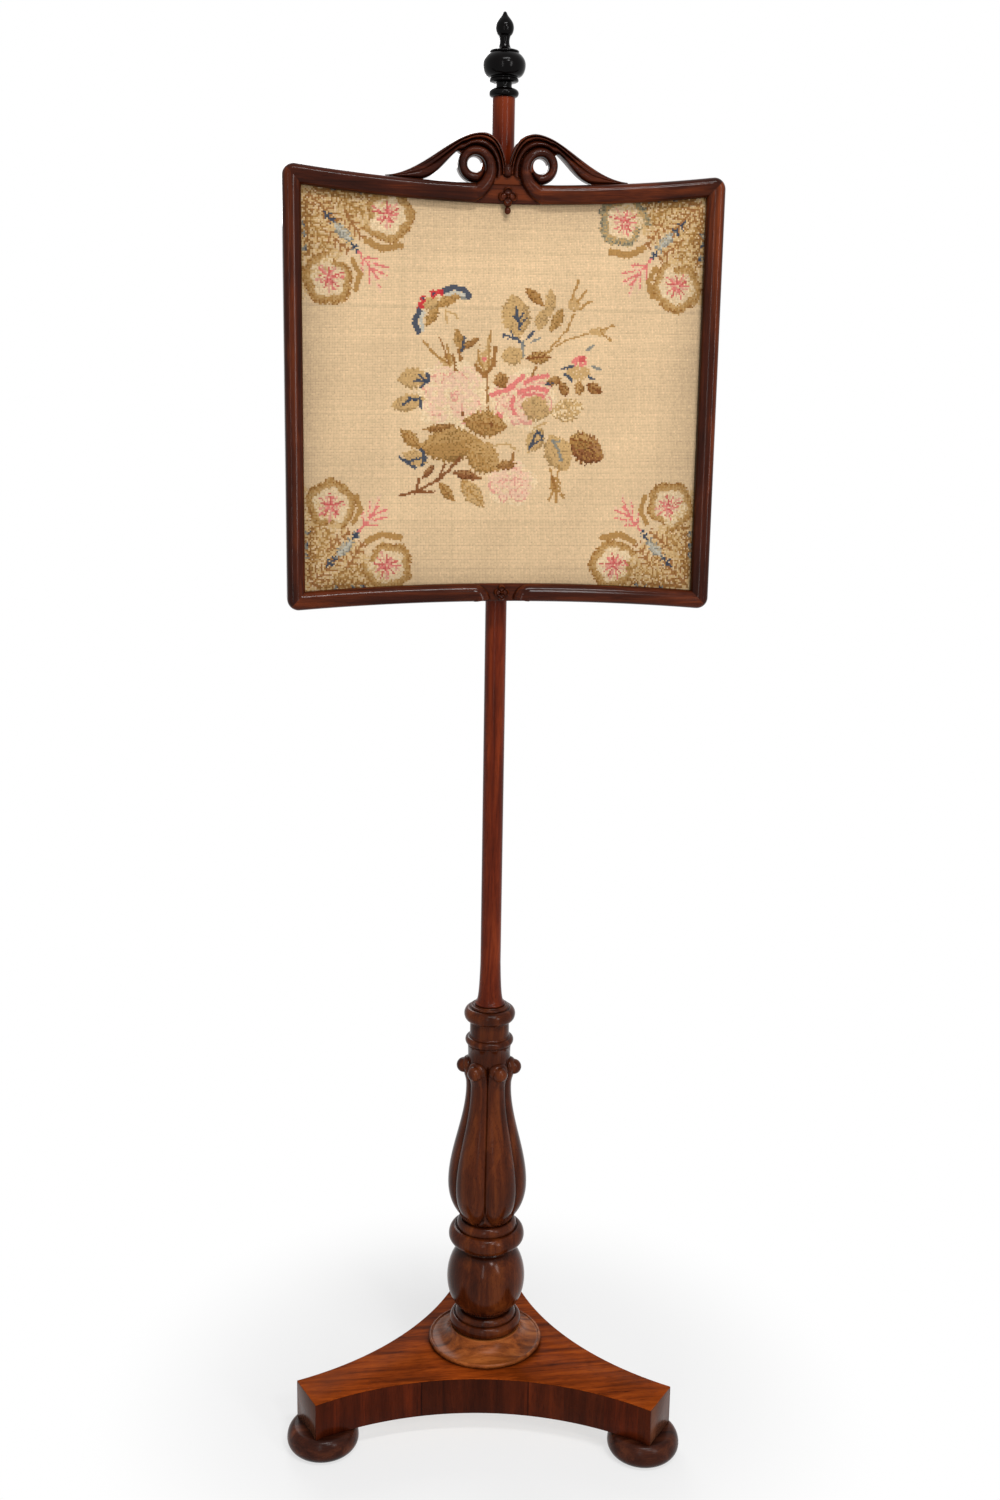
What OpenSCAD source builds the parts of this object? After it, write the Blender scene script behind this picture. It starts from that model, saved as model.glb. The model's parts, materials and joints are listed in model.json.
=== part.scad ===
// Pole screen: a needlework panel in a carved frame that slides and turns on a pole,
// over a turned and carved column, a hollow-sided platform and three bun feet.
// Millimetres. The origin is on the floor under the pole, +Z is up and the screen faces -Y.

/* [Feet] */
// Radius of a bun foot at its fullest
foot_r = 38; // [32:0.5:42]
// Height of a bun foot from the floor to the platform
foot_h = 28; // [24:0.5:36]
// Distance of a foot's axis from the pole's axis
foot_orbit = 197; // [185:1:202]
// Radius of the flat that a foot stands on
foot_flat_r = 24; // [16:0.5:28]
// Radius of the spigot that pins a foot to the platform
foot_spigot_r = 9; // [6:0.5:12]
// Length of that spigot
foot_spigot_len = 22; // [14:1:28]

/* [Platform] */
// Distance from the pole's axis to each end face
end_dist = 216; // [212:1:235]
// Distance from the pole's axis to the middle of a hollow side
waist_dist = 78; // [72:1:90]
// Width of an end face
end_w = 49; // [42:1:60]
// Thickness of the platform with its top veneer
platform_t = 42; // [36:1:50]
// Thickness of the veneers
veneer_t = 1.2; // [0.8:0.1:2]

/* [Collar] */
// Radius of the dished collar on the platform
collar_r = 62.4; // [56:0.2:68]
// Height of the bead round its edge
collar_bead_h = 5.5; // [4:0.5:8]
// Height of the collar
collar_h = 19; // [14:0.5:26]

/* [Column] */
// Radius of the ring at the column's foot
foot_ring_r = 39.3; // [36:0.1:44]
// Height of that ring
foot_ring_h = 14; // [10:0.5:18]
// Radius of the neck under the bulb
bulb_neck_r = 26.5; // [24:0.5:30]
// Height of the dome that leads to that neck
bulb_neck_h = 8; // [5:0.5:12]
// Radius of the bulb
bulb_r = 42.7; // [38:0.1:46]
// Height of the bulb
bulb_h = 74; // [62:1:84]
// Radius of the ring under the tulip
tulip_ring_r = 41.3; // [38:0.1:45]
// Height of that ring
tulip_ring_h = 34; // [30:1:42]
// Radius of the tulip over its lobes
tulip_r = 42.7; // [39:0.1:46]
// Radius of the tulip at its waist
tulip_waist_r = 24.2; // [22.5:0.1:28]
// Radius over the curled leaf tips
tip_r = 34.4; // [30:0.2:40]
// Height of the tulip with its leaf tips
tulip_h = 191; // [170:1:210]
// Number of lobes
lobes = 6; // [5:1:10]
// Depth of the grooves between the lobes
groove_depth = 4.2; // [2:0.1:5.5]
// Turn of the first groove from the front
groove_turn = -3; // [-22:1:22]
// Radius of the neck over the tulip
neck_r = 20.8; // [18:0.2:22]
// Radius of the lower neck ring
low_ring_r = 25.7; // [23.5:0.1:30]
// Radius of the upper neck ring
high_ring_r = 27.2; // [24:0.1:32]
// Height of the necks and rings over the tulip
neck_h = 57; // [50:1:66]
// Radius of the tenon that joins the column to the platform
tenon_r = 15; // [11:0.5:18]
// Width of the slot that the wedge spreads
wedge_w = 4; // [3:0.5:6]
// Length of the wedge
wedge_len = 26; // [18:1:32]

/* [Pole and finial] */
// Diameter of the pole
pole_d = 21.5; // [19:0.1:23]
// Length of the pole between the column and the finial
pole_len = 907; // [860:1:1000]
// Radius of the pole's flared foot
flare_r = 16; // [13:0.5:16.5]
// Height of the flare
flare_h = 48; // [30:1:60]
// Radius of the pole's tenon in the column
pole_tenon_r = 8; // [6:0.5:9]
// Length of that tenon
pole_tenon_len = 52; // [36:1:54]
// Radius of the finial's ball
finial_r = 20.2; // [16:0.1:20.6]
// Height of the finial over the pole
finial_h = 76; // [64:1:90]
// Radius of the finial's spigot in the pole
finial_spigot_r = 4; // [3:0.25:6]
// Length of that spigot
finial_spigot_len = 24; // [16:1:32]

/* [Screen frame] */
// Width over the frame
frame_w = 419; // [380:1:440]
// Height of the frame at its corners
frame_h = 414; // [380:1:430]
// Distance from the pole's top down to the frame's middle
screen_drop = 274; // [262:0.5:320]
// Turn of the screen on the pole
screen_turn = 9; // [-45:1:45]
// Dip of the top rail in the middle
top_dip = 14; // [8:0.5:18]
// Rise of the bottom rail in the middle
bottom_rise = 9; // [6:0.5:14]
// Width of the rails and stiles
member_w = 17.5; // [16.5:0.5:21]
// Thickness of the rails and stiles
frame_t = 22; // [20.5:0.5:26]
// Distance from the pole's axis to the frame's back
frame_gap = 19; // [18.5:0.5:24]
// Radius of the frame's outer corners
corner_r = 11; // [6:0.5:12]
// Width of the rebate behind the sight edge
rebate_w = 6; // [5:0.5:6.5]
// Depth of the rebate
rebate_d = 11; // [10.5:0.5:12]
// Thickness of the wood at the sight edge
sight_t = 3; // [2:0.5:4]
// Radius of the dowels in the mitres
mitre_dowel_r = 1.8; // [1.2:0.1:1.8]
// Length of those dowels
mitre_dowel_len = 9; // [6:0.5:9]
// Radius of the little flowers on the rails
patera_r = 8; // [6:0.2:8.4]

/* [Crest] */
// Height of the crest over the middle of the rail
crest_h = 45.5; // [42:0.5:60]
// Half of the crest's length from tip to tip
wing_len = 115; // [100:1:130]
// Distance of a volute's eye from the middle
eye_x = 31; // [28:0.5:34]
// Height of a volute's eye over the middle of the rail
eye_z = 17.2; // [17:0.1:19]
// Radius of a volute's eye
eye_r = 7; // [5:0.2:8]
// Radius over a volute
volute_r = 16.5; // [15:0.1:16.8]
// Thickness of the crest's ground
crest_t = 9; // [7:0.5:10]
// Height of the carving over that ground
relief_t = 7; // [4:0.5:8]
// Distance from the frame's back to the crest's back
crest_back = 3; // [2.5:0.5:4]

/* [Panel] */
// Thickness of the needlework
needlework_t = 1.2; // [0.8:0.1:1.6]
// Thickness of the strainer's bars
strainer_t = 6.5; // [5:0.5:6.5]
// Width of the strainer's bars
strainer_w = 26; // [20:1:32]
// Thickness of the lining
lining_t = 0.8; // [0.5:0.1:1]
// Radius of a brad that holds the panel in
brad_r = 0.8; // [0.6:0.05:0.9]
// Length of a brad
brad_len = 11; // [8:0.5:12]
// Radius of a tack's head
tack_head_r = 2.4; // [1.6:0.1:3]
// Radius of a tack's shank
tack_r = 0.7; // [0.5:0.1:1]
// Length of a tack's shank in the strainer
tack_len = 4.5; // [3:0.5:4.5]

/* [Slides] */
// Thickness of a bush's leather
bush_wall = 2; // [1.5:0.1:2.2]
// Height of a bush
bush_h = 10; // [8:0.5:10.5]
// Thickness of a slide ring's wall
ring_wall = 2.6; // [2:0.1:3]
// Height of a slide ring
ring_h = 18; // [17.5:0.5:20]
// Width of a slide's plate
plate_w = 52; // [44:1:60]
// Height of a slide's plate
plate_h = 15; // [12:0.5:16]
// Thickness of a slide's plate
plate_t = 2.4; // [2:0.1:2.5]
// Radius of the slide screws' shanks
screw_r = 1.75; // [1.25:0.05:2]
// Length of the slide screws under the plate
screw_len = 12; // [8:0.5:13]
// Radius of the thumbscrew's shank
thumb_r = 2.4; // [2:0.1:3]
// Radius of the thumbscrew's spade
thumb_spade_r = 8.5; // [6:0.5:11]

/* [Fits] */
// Room round glued spigots and tenons
glue_fit = 0.1; // [0.05:0.01:0.2]
// Room between a bush and the pole, and between a ring and its bush
slide_fit = 0.1; // [0.05:0.01:0.2]
// Room round the panel in its rebate
panel_fit = 0.4; // [0.2:0.1:1]
// Room round the thumbscrew
thumb_fit = 0.3; // [0.3:0.05:0.5]

/* [Hidden] */
$fn = 64;
LONG_ARC_FN = 720;
foot_dirs = [210, 330, 90];
side_dirs = [270, 30, 150];
// Turn of a volute's roll, and how far roll and leaf stay inside the crest's outline
volute_wind = 325;
roll_margin = 0.4;
leaf_margin = 1.4;
rosewood = [0.29, 0.14, 0.09];
redwood = [0.40, 0.19, 0.10];
veneer_brown = [0.60, 0.34, 0.17];
deal = [0.78, 0.62, 0.40];
brass = [0.78, 0.60, 0.28];

// Levels up the stand
platform_top = foot_h + platform_t;
core_top = platform_top - veneer_t;
column_z = platform_top + collar_h;
bulb_z = column_z + foot_ring_h + bulb_neck_h;
tulip_ring_z = bulb_z + bulb_h;
tulip_z = tulip_ring_z + tulip_ring_h;
neck_z = tulip_z + tulip_h;
pole_z = neck_z + neck_h;
finial_z = pole_z + pole_len;
pole_r = pole_d / 2;
frame_z = finial_z - screen_drop;

// Circle that hollows a side of the platform
side_corner_x = end_dist * cos(30) - end_w / 2 * sin(30);
side_corner_y = end_dist * sin(30) + end_w / 2 * cos(30);
side_sag = side_corner_y - waist_dist;
hollow_r = (side_corner_x ^ 2 + side_sag ^ 2) / (2 * side_sag);
hollow_dist = waist_dist + hollow_r;

// Arcs of the top and bottom rails, seen from the front
half_w = frame_w / 2;
top_corner_z = frame_z + frame_h / 2;
low_corner_z = frame_z - frame_h / 2;
top_mid_z = top_corner_z - top_dip;
low_mid_z = low_corner_z + bottom_rise;
top_r = (half_w ^ 2 + top_dip ^ 2) / (2 * top_dip);
low_r = (half_w ^ 2 + bottom_rise ^ 2) / (2 * bottom_rise);
top_centre = top_mid_z + top_r;
low_centre = low_mid_z - low_r;

// Corners of the sight opening and the mitre lines through them
sight_x = half_w - member_w;
sight_top_z = top_centre - sqrt((top_r + member_w) ^ 2 - sight_x ^ 2);
sight_low_z = low_centre + sqrt((low_r + member_w) ^ 2 - sight_x ^ 2);
top_mitre = unit([half_w, top_corner_z] - [sight_x, sight_top_z]);
low_mitre = unit([half_w, low_corner_z] - [sight_x, sight_low_z]);
mitre_out = 30;
mitre_in = 120;
dowel_in = 8.5;
dowel_depth = 6.5;

// Layers of the panel, measured forward from the frame's back
panel_inset = member_w - rebate_w + panel_fit;
needlework_back = rebate_d - needlework_t;
strainer_back = needlework_back - strainer_t;
lining_back = strainer_back - lining_t;
tack_head_h = 1;
tacks_a_side = 5;
brads_a_side = 2;

// Moulding of the frame and the tablets cut in it
crown_u = 0.34 * member_w;
shoulder_h = frame_t - 7;
sight_h = rebate_d + sight_t;
tablet_h = sight_h + 0.6;
top_curl_r = 21;
low_curl_r = 15.5;
low_curl_x = 26.5;
bud_r = 2.8;

// Slides, measured from the pole's axis
bush_in_r = pole_r + slide_fit;
bush_out_r = bush_in_r + bush_wall;
ring_bore_r = bush_out_r + slide_fit;
ring_out_r = ring_bore_r + ring_wall;
ring_guide_r = pole_r + 0.75;
neck_half_w = 6;
upper_slide_z = top_mid_z - member_w / 2 - ring_h / 2;
lower_slide_z = low_mid_z + member_w / 2 - ring_h / 2;
screw_head_r = 2 * screw_r;
screw_spread = plate_w / 2 - screw_head_r - 3;
boss_r = thumb_r + 2.6;
boss_end = ring_out_r + 5;
boss_z = upper_slide_z + ring_h - boss_r + 0.5;
thumb_neck = 3;
spade_t = 3.4;

function unit(v) = v / norm(v);
// Quarter of an ellipse that leaves level and arrives upright
function sweep_out(r0, z0, r1, z1, n = 7) =
    [for (i = [0:n]) let (a = 90 * i / n) [r0 + (r1 - r0) * sin(a), z0 + (z1 - z0) * (1 - cos(a))]];
// Quarter of an ellipse that leaves upright and arrives level
function sweep_in(r0, z0, r1, z1, n = 7) =
    [for (i = [0:n]) let (a = 90 * i / n) [r0 + (r1 - r0) * (1 - cos(a)), z0 + (z1 - z0) * sin(a)]];
// Cubic curve between a and d, drawn towards b and c
function curve(a, b, c, d, n = 8) =
    [for (i = [0:n]) let (t = i / n, s = 1 - t)
        s ^ 3 * a + 3 * s ^ 2 * t * b + 3 * s * t ^ 2 * c + t ^ 3 * d];

// Closed mesh through rings of points, each ring of the same count
module loft(rings) {
    count = len(rings[0]);
    last = len(rings) - 1;
    points = [for (ring = rings) each ring];
    sides = [for (i = [0:last - 1], j = [0:count - 1])
        let (a = i * count + j, b = i * count + (j + 1) % count)
        each [[a, a + count, b + count], [a, b + count, b]]];
    foot = [[for (j = [0:count - 1]) j]];
    head = [[for (j = [count - 1:-1:0]) last * count + j]];
    polyhedron(points, concat(sides, foot, head));
}

// Plan of the platform, drawn in by e on every edge
module platform_plan(e) {
    difference() {
        rotate(30) circle(r = 2 * (end_dist - e), $fn = 3);
        for (a = side_dirs) hollow_disc(a, hollow_r + e);
    }
}

module hollow_disc(direction, r) {
    rotate(direction) translate([hollow_dist, 0]) circle(r, $fn = LONG_ARC_FN);
}

module platform_core() {
    color(deal) difference() {
        translate([0, 0, foot_h]) linear_extrude(platform_t - veneer_t) platform_plan(veneer_t);
        translate([0, 0, foot_h - 1]) cylinder(r = tenon_r + glue_fit, h = platform_t + 2);
        for (a = foot_dirs)
            rotate(a) translate([foot_orbit, 0, foot_h - 1])
                cylinder(r = foot_spigot_r + glue_fit, h = foot_spigot_len + glue_fit + 1);
    }
}

module platform_top_veneer() {
    color(veneer_brown) translate([0, 0, core_top]) linear_extrude(veneer_t) difference() {
        platform_plan(0);
        circle(tenon_r + glue_fit);
    }
}

module side_veneer(direction) {
    color(rosewood) translate([0, 0, foot_h]) linear_extrude(platform_t - veneer_t) intersection() {
        platform_plan(0);
        hollow_disc(direction, hollow_r + veneer_t);
    }
}

module end_veneer(direction) {
    color(rosewood) translate([0, 0, foot_h]) linear_extrude(platform_t - veneer_t) difference() {
        rotate(direction) translate([end_dist - veneer_t, -end_w]) square([veneer_t, 2 * end_w]);
        for (a = side_dirs) hollow_disc(a, hollow_r + veneer_t);
    }
}

module bun_foot(direction) {
    belly_z = 0.47 * foot_h;
    top_r = foot_r - 9;
    color(rosewood) rotate(direction) translate([foot_orbit, 0, 0]) rotate_extrude() polygon(concat(
        [[0, 0]],
        sweep_out(foot_flat_r, 0, foot_r, belly_z),
        sweep_in(foot_r, belly_z, top_r, foot_h),
        [[foot_spigot_r, foot_h], [foot_spigot_r, foot_h + foot_spigot_len], [0, foot_h + foot_spigot_len]]));
}

module base_collar() {
    seat_r = foot_ring_r - 2;
    dish_r = collar_r - 4.5;
    hollow_end = seat_r + 11;
    dish_z = collar_bead_h - 1.6;
    bore_r = tenon_r + glue_fit;
    color(veneer_brown) translate([0, 0, platform_top]) rotate_extrude() polygon(concat(
        [[bore_r, 0]],
        sweep_out(collar_r - 1.5, 0, collar_r, collar_bead_h / 2, 4),
        sweep_in(collar_r, collar_bead_h / 2, collar_r - 2.2, collar_bead_h, 4),
        [[dish_r, dish_z]],
        curve([hollow_end, dish_z + 0.6], [seat_r + 4, dish_z + 1.6], [seat_r, collar_h - 8], [seat_r, collar_h]),
        [[bore_r, collar_h]]));
}

// Turned foot of the column: tenon, ring, dome, bulb and the ring under the tulip
module column_foot() {
    tenon_len = column_z - foot_h;
    ring_end = foot_ring_h;
    seat_r = foot_ring_r - 6;
    dome_r = seat_r;
    dome_z = ring_end - 1;
    neck_end = ring_end + bulb_neck_h;
    bulb_mid = neck_end + bulb_h / 2;
    bulb_end = neck_end + bulb_h;
    bulb_top_r = tulip_ring_r - 12.8;
    ring_tube = 10;
    ring_mid = bulb_end + 0.41 * tulip_ring_h;
    step_z = bulb_end + 0.72 * tulip_ring_h;
    step_r = tulip_ring_r - 8.7;
    ring_top = bulb_end + tulip_ring_h;
    ring_top_r = tulip_ring_r - 14;
    rotate_extrude() polygon(concat(
        [[0, -tenon_len], [tenon_r, -tenon_len], [tenon_r, 0]],
        sweep_out(seat_r, 0, foot_ring_r, ring_end / 2),
        sweep_in(foot_ring_r, ring_end / 2, dome_r + 1.2, ring_end),
        [[dome_r + 1.2, dome_z], [dome_r, dome_z]],
        sweep_in(dome_r, ring_end, bulb_neck_r, neck_end - 1),
        curve([bulb_neck_r, neck_end], [bulb_r - 6.5, neck_end + 6], [bulb_r, bulb_mid - 17], [bulb_r, bulb_mid]),
        curve([bulb_r, bulb_mid], [bulb_r, bulb_mid + 14], [bulb_top_r + 9.5, bulb_end - 8], [bulb_top_r, bulb_end]),
        [[bulb_top_r, ring_mid - ring_tube - 1]],
        sweep_out(tulip_ring_r - ring_tube, ring_mid - ring_tube, tulip_ring_r, ring_mid),
        sweep_in(tulip_ring_r, ring_mid, step_r + 1.5, step_z),
        [[step_r + 1.5, step_z - 1], [step_r, step_z - 1]],
        sweep_in(step_r, step_z + 1, ring_top_r, ring_top),
        [[0, ring_top]]));
}

// Outer curve of the tulip over its lobes, as radius and height
function tulip_outline() =
    let (
        base_r = tulip_ring_r - 14.5,
        belly_z = 0.22 * tulip_h,
        waist_z = 0.81 * tulip_h,
        tip_z = 0.93 * tulip_h,
        end_r = neck_r + 2.8)
    concat(
        curve([base_r, 0], [base_r + 5, 0.15 * belly_z], [tulip_r, 0.5 * belly_z], [tulip_r, belly_z], 6),
        curve([tulip_r, belly_z], [tulip_r, 0.42 * tulip_h], [tulip_waist_r, 0.61 * tulip_h],
            [tulip_waist_r, waist_z], 10),
        curve([tulip_waist_r + 0.1, waist_z + 2], [tulip_waist_r, waist_z + 10],
            [tip_r, tip_z - 8], [tip_r, tip_z], 4),
        curve([tip_r - 0.1, tip_z + 1], [tip_r, tip_z + 6], [end_r + 4, tulip_h - 2], [end_r, tulip_h], 4));

// Depth of the grooves at radius r and height z of the tulip
function groove_at(r, z) =
    let (fade = min(1, (tulip_h - z) / 4, 0.3 + z / 20))
    fade * (z > 0.82 * tulip_h ? max(groove_depth, r - neck_r - 3) : groove_depth * r / tulip_r);

module tulip() {
    points_a_lobe = 6;
    count = lobes * points_a_lobe;
    loft([for (p = tulip_outline()) [for (j = [0:count - 1])
        let (
            a = 360 * j / count,
            lobe = abs(sin(180 * j / points_a_lobe)),
            r = p[0] - groove_at(p[0], p[1]) * (1 - lobe) ^ 1.5)
        [r * cos(a), r * sin(a), p[1]]]]);
}

// Turned head of the column: neck, two rings and the socket's top
module column_head() {
    low_mid = 0.3 * neck_h;
    low_half = 6;
    high_mid = 0.82 * neck_h;
    high_half = neck_h - high_mid;
    rotate_extrude() polygon(concat(
        [[0, 0], [neck_r + 1.7, 0], [neck_r + 2.2, low_mid - low_half]],
        sweep_out(neck_r + 2.2, low_mid - low_half, low_ring_r, low_mid),
        sweep_in(low_ring_r, low_mid, neck_r, low_mid + low_half),
        [[neck_r, high_mid - high_half]],
        sweep_out(neck_r, high_mid - high_half, high_ring_r, high_mid),
        sweep_in(high_ring_r, high_mid, flare_r + 1, neck_h),
        [[0, neck_h]]));
}

module column() {
    color(rosewood) difference() {
        union() {
            translate([0, 0, column_z]) column_foot();
            translate([0, 0, tulip_z]) rotate(270 + groove_turn) tulip();
            translate([0, 0, neck_z]) column_head();
        }
        translate([0, 0, pole_z - pole_tenon_len - glue_fit])
            cylinder(r = pole_tenon_r + glue_fit, h = pole_tenon_len + glue_fit + 1);
        translate([0, 0, foot_h]) wedge_body(1);
    }
}

// Wedge up the tenon's end, lowered by drop so that a cut leaves no skin
module wedge_body(drop) {
    translate([-tenon_r - drop, 0, 0]) rotate([90, 0, 90]) linear_extrude(2 * tenon_r + 2 * drop)
        polygon([[-wedge_w / 2, -drop], [wedge_w / 2, -drop], [wedge_w / 2, 0],
            [0.2 * wedge_w, wedge_len], [-0.2 * wedge_w, wedge_len], [-wedge_w / 2, 0]]);
}

module tenon_wedge() {
    color(deal) intersection() {
        translate([0, 0, foot_h]) wedge_body(0);
        translate([0, 0, foot_h]) cylinder(r = tenon_r, h = wedge_len);
    }
}

module pole() {
    color(redwood) translate([0, 0, pole_z]) difference() {
        rotate_extrude() polygon(concat(
            [[0, -pole_tenon_len], [pole_tenon_r, -pole_tenon_len], [pole_tenon_r, 0]],
            curve([flare_r, 0], [pole_r + 1.8, flare_h / 6], [pole_r + 0.5, flare_h / 2], [pole_r, flare_h]),
            [[pole_r, pole_len], [0, pole_len]]));
        translate([0, 0, pole_len - finial_spigot_len - glue_fit])
            cylinder(r = finial_spigot_r + glue_fit, h = finial_spigot_len + glue_fit + 1);
    }
}

module finial() {
    ring_r = 0.68 * finial_r;
    lip_r = 0.67 * finial_r;
    bud_r = 0.42 * finial_r;
    color([0.06, 0.05, 0.05]) translate([0, 0, finial_z]) rotate_extrude() polygon(concat(
        [[0, -finial_spigot_len], [finial_spigot_r, -finial_spigot_len], [finial_spigot_r, 0]],
        sweep_out(ring_r - 2.5, 0, ring_r, 0.05 * finial_h, 4),
        sweep_in(ring_r, 0.05 * finial_h, ring_r - 5.5, 0.115 * finial_h, 4),
        sweep_out(lip_r - 5.5, 0.165 * finial_h, lip_r, 0.19 * finial_h, 3),
        [[lip_r, 0.205 * finial_h], [lip_r - 0.8, 0.215 * finial_h]],
        sweep_out(lip_r - 0.3, 0.225 * finial_h, finial_r, 0.36 * finial_h),
        curve([finial_r, 0.36 * finial_h], [finial_r, 0.46 * finial_h],
            [0.7 * finial_r, 0.52 * finial_h], [0.33 * finial_r, 0.57 * finial_h]),
        sweep_in(0.25 * finial_r, 0.59 * finial_h, 0.14 * finial_r, 0.645 * finial_h, 4),
        curve([0.15 * finial_r, 0.65 * finial_h], [0.4 * finial_r, 0.69 * finial_h],
            [1.1 * bud_r, 0.76 * finial_h], [bud_r, 0.81 * finial_h], 5),
        curve([bud_r, 0.81 * finial_h], [0.95 * bud_r, 0.88 * finial_h],
            [0.5 * bud_r, 0.93 * finial_h], [0, finial_h], 6)));
}

// Turns children with the screen about the pole
module on_screen() {
    rotate(screen_turn) children();
}

// Stands a front view up between two depths, measured forward from the frame's back
module upright(back, front) {
    translate([0, -frame_gap - back, 0]) rotate([90, 0, 0]) linear_extrude(front - back) children();
}

module top_disc(r) {
    translate([0, top_centre]) circle(r, $fn = LONG_ARC_FN);
}

module low_disc(r) {
    translate([0, low_centre]) circle(r, $fn = LONG_ARC_FN);
}

// Front view of the frame's outline, drawn in by e on every edge
module frame_plan(e) {
    difference() {
        translate([-half_w + e, low_corner_z]) square([frame_w - 2 * e, frame_h]);
        top_disc(top_r + e);
        low_disc(low_r + e);
    }
}

// Section of the frame from its outer edge to its sight edge, back to front
function moulding() = concat(
    [[0, 0]],
    sweep_in(0, shoulder_h, crown_u, frame_t, 6),
    [for (i = [1:6]) let (a = 15 * i)
        [crown_u + (member_w - crown_u) * sin(a), sight_h + (frame_t - sight_h) * cos(a)]],
    [[member_w, rebate_d], [member_w - rebate_w, rebate_d], [member_w - rebate_w, 0]]);

// Bends the moulding along an arc of a rail; towards is the direction of the rail from its centre
module bent_moulding(centre, r, towards) {
    half_angle = asin(half_w / r) + 1;
    translate([0, -frame_gap, centre]) rotate([90, 0, 0]) rotate(towards - half_angle)
        rotate_extrude(angle = 2 * half_angle, $fn = LONG_ARC_FN) translate([r, 0]) polygon(moulding());
}

// Front view of the zone that a mitred rail keeps
module rail_zone(corner, mitre) {
    out = corner + mitre_out * mitre;
    in = corner - mitre_in * mitre;
    polygon([[-out[0], out[1]], [-in[0], in[1]], in, out]);
}

// Front view of the zone that the right stile keeps
module stile_zone() {
    top = [half_w, top_corner_z];
    low = [half_w, low_corner_z];
    polygon([top + mitre_out * top_mitre, top - mitre_in * top_mitre,
        low - mitre_in * low_mitre, low + mitre_out * low_mitre]);
}

// Front view of what is cut from a square corner to round it
module corner_waste(side, z, updown) {
    translate([side * (half_w - corner_r), z - updown * (corner_r + 1)]) difference() {
        translate([side > 0 ? 0 : -corner_r - 5, updown > 0 ? 0 : -corner_r - 5]) square(corner_r + 5);
        circle(corner_r);
    }
}

module corner_wastes() {
    for (side = [-1, 1]) {
        corner_waste(side, top_corner_z, 1);
        corner_waste(side, low_corner_z, -1);
    }
}

module corner_dowel(side, corner, mitre, room) {
    along = corner - dowel_in * mitre;
    angle = atan2(mitre[0], mitre[1]);
    translate([side * along[0], -frame_gap - dowel_depth, along[1]]) rotate([0, side * (angle + 90), 0])
        cylinder(r = mitre_dowel_r + room, h = mitre_dowel_len + 2 * room, center = true);
}

module all_corner_dowels(room) {
    for (side = [-1, 1]) {
        corner_dowel(side, [half_w, top_corner_z], top_mitre, room);
        corner_dowel(side, [half_w, low_corner_z], low_mitre, room);
    }
}

// Brads through the rebate's wall, lying on the panel's back
module all_brads() {
    y = -frame_gap - lining_back + brad_r;
    out = member_w - rebate_w - 0.5 * brad_len;
    for (i = [0:brads_a_side - 1], side = [-1, 1]) {
        share = (i + 1) / (brads_a_side + 1) - 0.5;
        translate([side * (half_w - out), y, frame_z + share * frame_h]) rotate([0, -side * 90, 0])
            cylinder(r = brad_r, h = brad_len);
        brad_x = share * frame_w;
        translate([brad_x, y, top_centre - sqrt(top_r ^ 2 - brad_x ^ 2) - out]) rotate([180, 0, 0])
            cylinder(r = brad_r, h = brad_len);
        translate([brad_x, y, low_centre + sqrt(low_r ^ 2 - brad_x ^ 2) + out])
            cylinder(r = brad_r, h = brad_len);
    }
}

// Front view of the tablet in the middle of the top rail, between the curls of the moulding
module top_tablet() {
    difference() {
        translate([-eye_x, top_mid_z - member_w - 4]) square([2 * eye_x, member_w + 14]);
        for (side = [-1, 1]) translate([side * eye_x, top_mid_z - member_w + 2.5 + top_curl_r]) circle(top_curl_r);
    }
}

// Front view of the tablet in the middle of the bottom rail
module low_tablet() {
    difference() {
        translate([-low_curl_x, low_mid_z - 4]) square([2 * low_curl_x, member_w + 8]);
        for (side = [-1, 1]) translate([side * low_curl_x, low_mid_z + member_w - low_curl_r - 0.5]) circle(low_curl_r);
    }
}

module top_rail() {
    color(rosewood) on_screen() difference() {
        intersection() {
            bent_moulding(top_centre, top_r, 270);
            upright(-1, frame_t + 1) rail_zone([half_w, top_corner_z], top_mitre);
        }
        upright(tablet_h, frame_t + 1) top_tablet();
        upright(-1, frame_t + 1) corner_wastes();
        all_corner_dowels(glue_fit);
        all_brads();
        all_slide_screws(upper_slide_z, glue_fit);
    }
}

module bottom_rail() {
    color(rosewood) on_screen() difference() {
        intersection() {
            bent_moulding(low_centre, low_r, 90);
            upright(-1, frame_t + 1) rail_zone([half_w, low_corner_z], low_mitre);
        }
        upright(tablet_h, frame_t + 1) low_tablet();
        upright(-1, frame_t + 1) corner_wastes();
        all_corner_dowels(glue_fit);
        all_brads();
        all_slide_screws(lower_slide_z, glue_fit);
    }
}

module stile(side) {
    color(rosewood) on_screen() difference() {
        mirror([side < 0 ? 1 : 0, 0, 0]) intersection() {
            translate([half_w, -frame_gap, low_corner_z]) rotate(180) linear_extrude(frame_h) polygon(moulding());
            upright(-1, frame_t + 1) stile_zone();
        }
        upright(-1, frame_t + 1) corner_wastes();
        all_corner_dowels(glue_fit);
        all_brads();
    }
}

module corner_dowels() {
    color(deal) on_screen() all_corner_dowels(0);
}

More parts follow.
